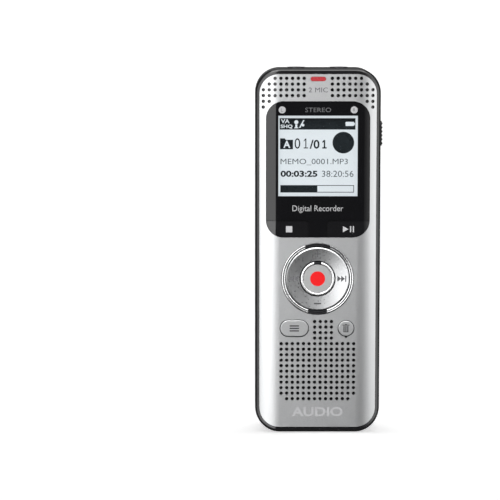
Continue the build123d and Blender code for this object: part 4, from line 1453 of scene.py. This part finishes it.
@dataclass
class Batteries:
    """Two cells with their springs and contact plates."""

    band: float = 10.0 * MM

    def build(self) -> None:
        """Dress the cells and the contacts."""
        for node, nub_up in (("battery_left", True), ("battery_right", False)):
            low, high = (corner[2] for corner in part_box(node))
            span = (high - self.band, high) if nub_up else (low, low + self.band)
            dress(node, CellSleeve(span[0] / MM, span[1] / MM, f"{node}_sleeve").material())
        dress("battery_springs", RolledMetal("spring_wire", (0.70, 0.69, 0.66), 0.22).material())
        dress("battery_contacts", RolledMetal("contact_plate", (0.68, 0.67, 0.64), 0.28).material())


# ---------------------------------------------------------------- studio


@dataclass
class Softbox:
    """One soft area lamp aimed at the recorder, brighter towards one side where asked."""

    name: str
    azimuth: float
    elevation: float
    distance: float
    size: Point
    radiance: float
    start: float = 1.0
    fade: Point = (0.0, 0.3)
    aim_z: float = 0.055

    def build(self) -> None:
        """Hang the lamp at its azimuth, measured from the front towards the left."""
        lamp = bpy.data.lights.new(self.name, "AREA")
        lamp.shape = "RECTANGLE"
        lamp.size, lamp.size_y = self.size
        lamp.energy = math.pi * self.size[0] * self.size[1] * self.radiance
        s = Shader(lamp)
        across = s.node("ShaderNodeNewGeometry").outputs["Parametric"]
        split = s.node("ShaderNodeSeparateXYZ", sockets={0: across})
        rise = Num(s, split.outputs[0]).ramp(*self.fade, self.start, 1.0)
        glow = s.node("ShaderNodeEmission", sockets={"Strength": rise})
        s.node("ShaderNodeOutputLight", sockets={0: glow.outputs[0]})
        holder = bpy.data.objects.new(self.name, lamp)
        turn = math.radians(self.azimuth)
        lift = math.radians(self.elevation)
        flat = self.distance * math.cos(lift)
        place = Vector((-flat * math.sin(turn), -flat * math.cos(turn),
                        self.aim_z + self.distance * math.sin(lift)))
        holder.location = place
        aim = Vector((0.0, 0.0, self.aim_z)) - place
        holder.rotation_euler = aim.to_track_quat("-Z", "Y").to_euler()
        holder.visible_camera = False
        bpy.context.scene.collection.objects.link(holder)
        LOG.info("hung %s", self.name)


@dataclass
class Studio:
    """Pale floor and backdrop, soft lamps and the camera."""

    floor_width: float = 4.0
    floor_front: float = -3.2
    floor_back: float = 2.2
    backdrop_height: float = 2.6
    backdrop_curve: float = 0.8
    floor_glow: float = 0.62
    floor_tones: Point = (0.93, 0.95)
    floor_cloud_mm: float = 400.0
    sky: float = 0.14
    camera_place: tuple[float, float, float] = (-0.02055, -0.6805, 0.131)
    camera_tilt: float = 6.38
    lens: float = 160.0
    sensor: float = 36.0
    near_limit: float = 0.01
    lamps: list[Softbox] = field(default_factory=lambda: [
        Softbox("left_box", 28.5, 14.5, 1.0, (0.81, 1.3), 3.6, 0.6, (0.0, 0.4)),
        Softbox("right_box", -39.0, 14.0, 1.0, (0.72, 1.3), 2.6, 0.12, (0.0, 0.6)),
        Softbox("front_top_box", 0.0, 45.0, 1.0, (1.2, 0.6), 5.0),
        Softbox("overhead_box", 0.0, 86.0, 1.1, (1.2, 1.0), 1.6),
    ])

    def build(self) -> None:
        """Set up the floor, the lamps and the camera."""
        self.lay_floor()
        self.light_sky()
        for lamp in self.lamps:
            lamp.build()
        self.set_camera()

    def lay_floor(self) -> None:
        """Lay a pale floor that curves up into a backdrop."""
        shape = bmesh.new()
        half = self.floor_width / 2
        bends = ((self.floor_front, 0.0), (self.floor_back, 0.0), (self.floor_back, self.backdrop_height))
        profile = [shape.verts.new((-half, y, z)) for y, z in bends]
        for pair in zip(profile, profile[1:]):
            shape.edges.new(pair)
        bmesh.ops.bevel(shape, geom=[profile[1]], offset=self.backdrop_curve, offset_type="OFFSET",
                        affect="VERTICES", segments=16, profile=0.5, material=-1)
        made = bmesh.ops.extrude_edge_only(shape, edges=list(shape.edges))["geom"]
        moved = [item for item in made if isinstance(item, bmesh.types.BMVert)]
        bmesh.ops.translate(shape, verts=moved, vec=(2 * half, 0.0, 0.0))
        mesh = bpy.data.meshes.new("studio_sweep")
        shape.to_mesh(mesh)
        shape.free()
        s = Shader("sweep_white")
        dark, light = self.floor_tones
        colour = s.mix(s.noise(self.floor_cloud_mm, 1.0), (dark, dark, dark), (light, light, light))
        mesh.materials.append(s.surface(Base_Color=colour, Roughness=0.9, Emission_Color=colour,
                                        Emission_Strength=self.floor_glow))
        for polygon in mesh.polygons:
            polygon.use_smooth = True
        floor = bpy.data.objects.new("studio_sweep", mesh)
        floor.visible_glossy = False
        bpy.context.scene.collection.objects.link(floor)

    def light_sky(self) -> None:
        """Fill the room with an even soft light."""
        world = bpy.data.worlds.new("studio")
        bpy.context.scene.world = world
        world.use_nodes = True
        world.node_tree.nodes["Background"].inputs[0].default_value = (1.0, 1.0, 1.0, 1.0)
        world.node_tree.nodes["Background"].inputs[1].default_value = self.sky

    def set_camera(self) -> None:
        """Place the camera in front, a little to the left and looking slightly down."""
        camera = bpy.data.cameras.new("camera")
        camera.lens = self.lens
        camera.sensor_width = self.sensor
        camera.clip_start = self.near_limit
        holder = bpy.data.objects.new("camera", camera)
        holder.location = self.camera_place
        holder.rotation_euler = (math.radians(90.0 - self.camera_tilt), 0.0, 0.0)
        bpy.context.scene.collection.objects.link(holder)
        bpy.context.scene.camera = holder
        bpy.context.scene.view_settings.view_transform = "Standard"


def main() -> None:
    """Build the recorder's looks and the studio."""
    logging.basicConfig(level=logging.INFO, format="%(message)s")
    parts = (FrontPlate(), CaseShells(), DisplayWindow(), SoftKeys(), NavigationRing(), LowerKeys(),
             SideSlider(), StatusLight(), Sockets(), SoundParts(), Electronics(), Batteries(), Studio())
    for part in parts:
        part.build()
        LOG.info("built %s", type(part).__name__)


if __name__ == "__main__":
    main()
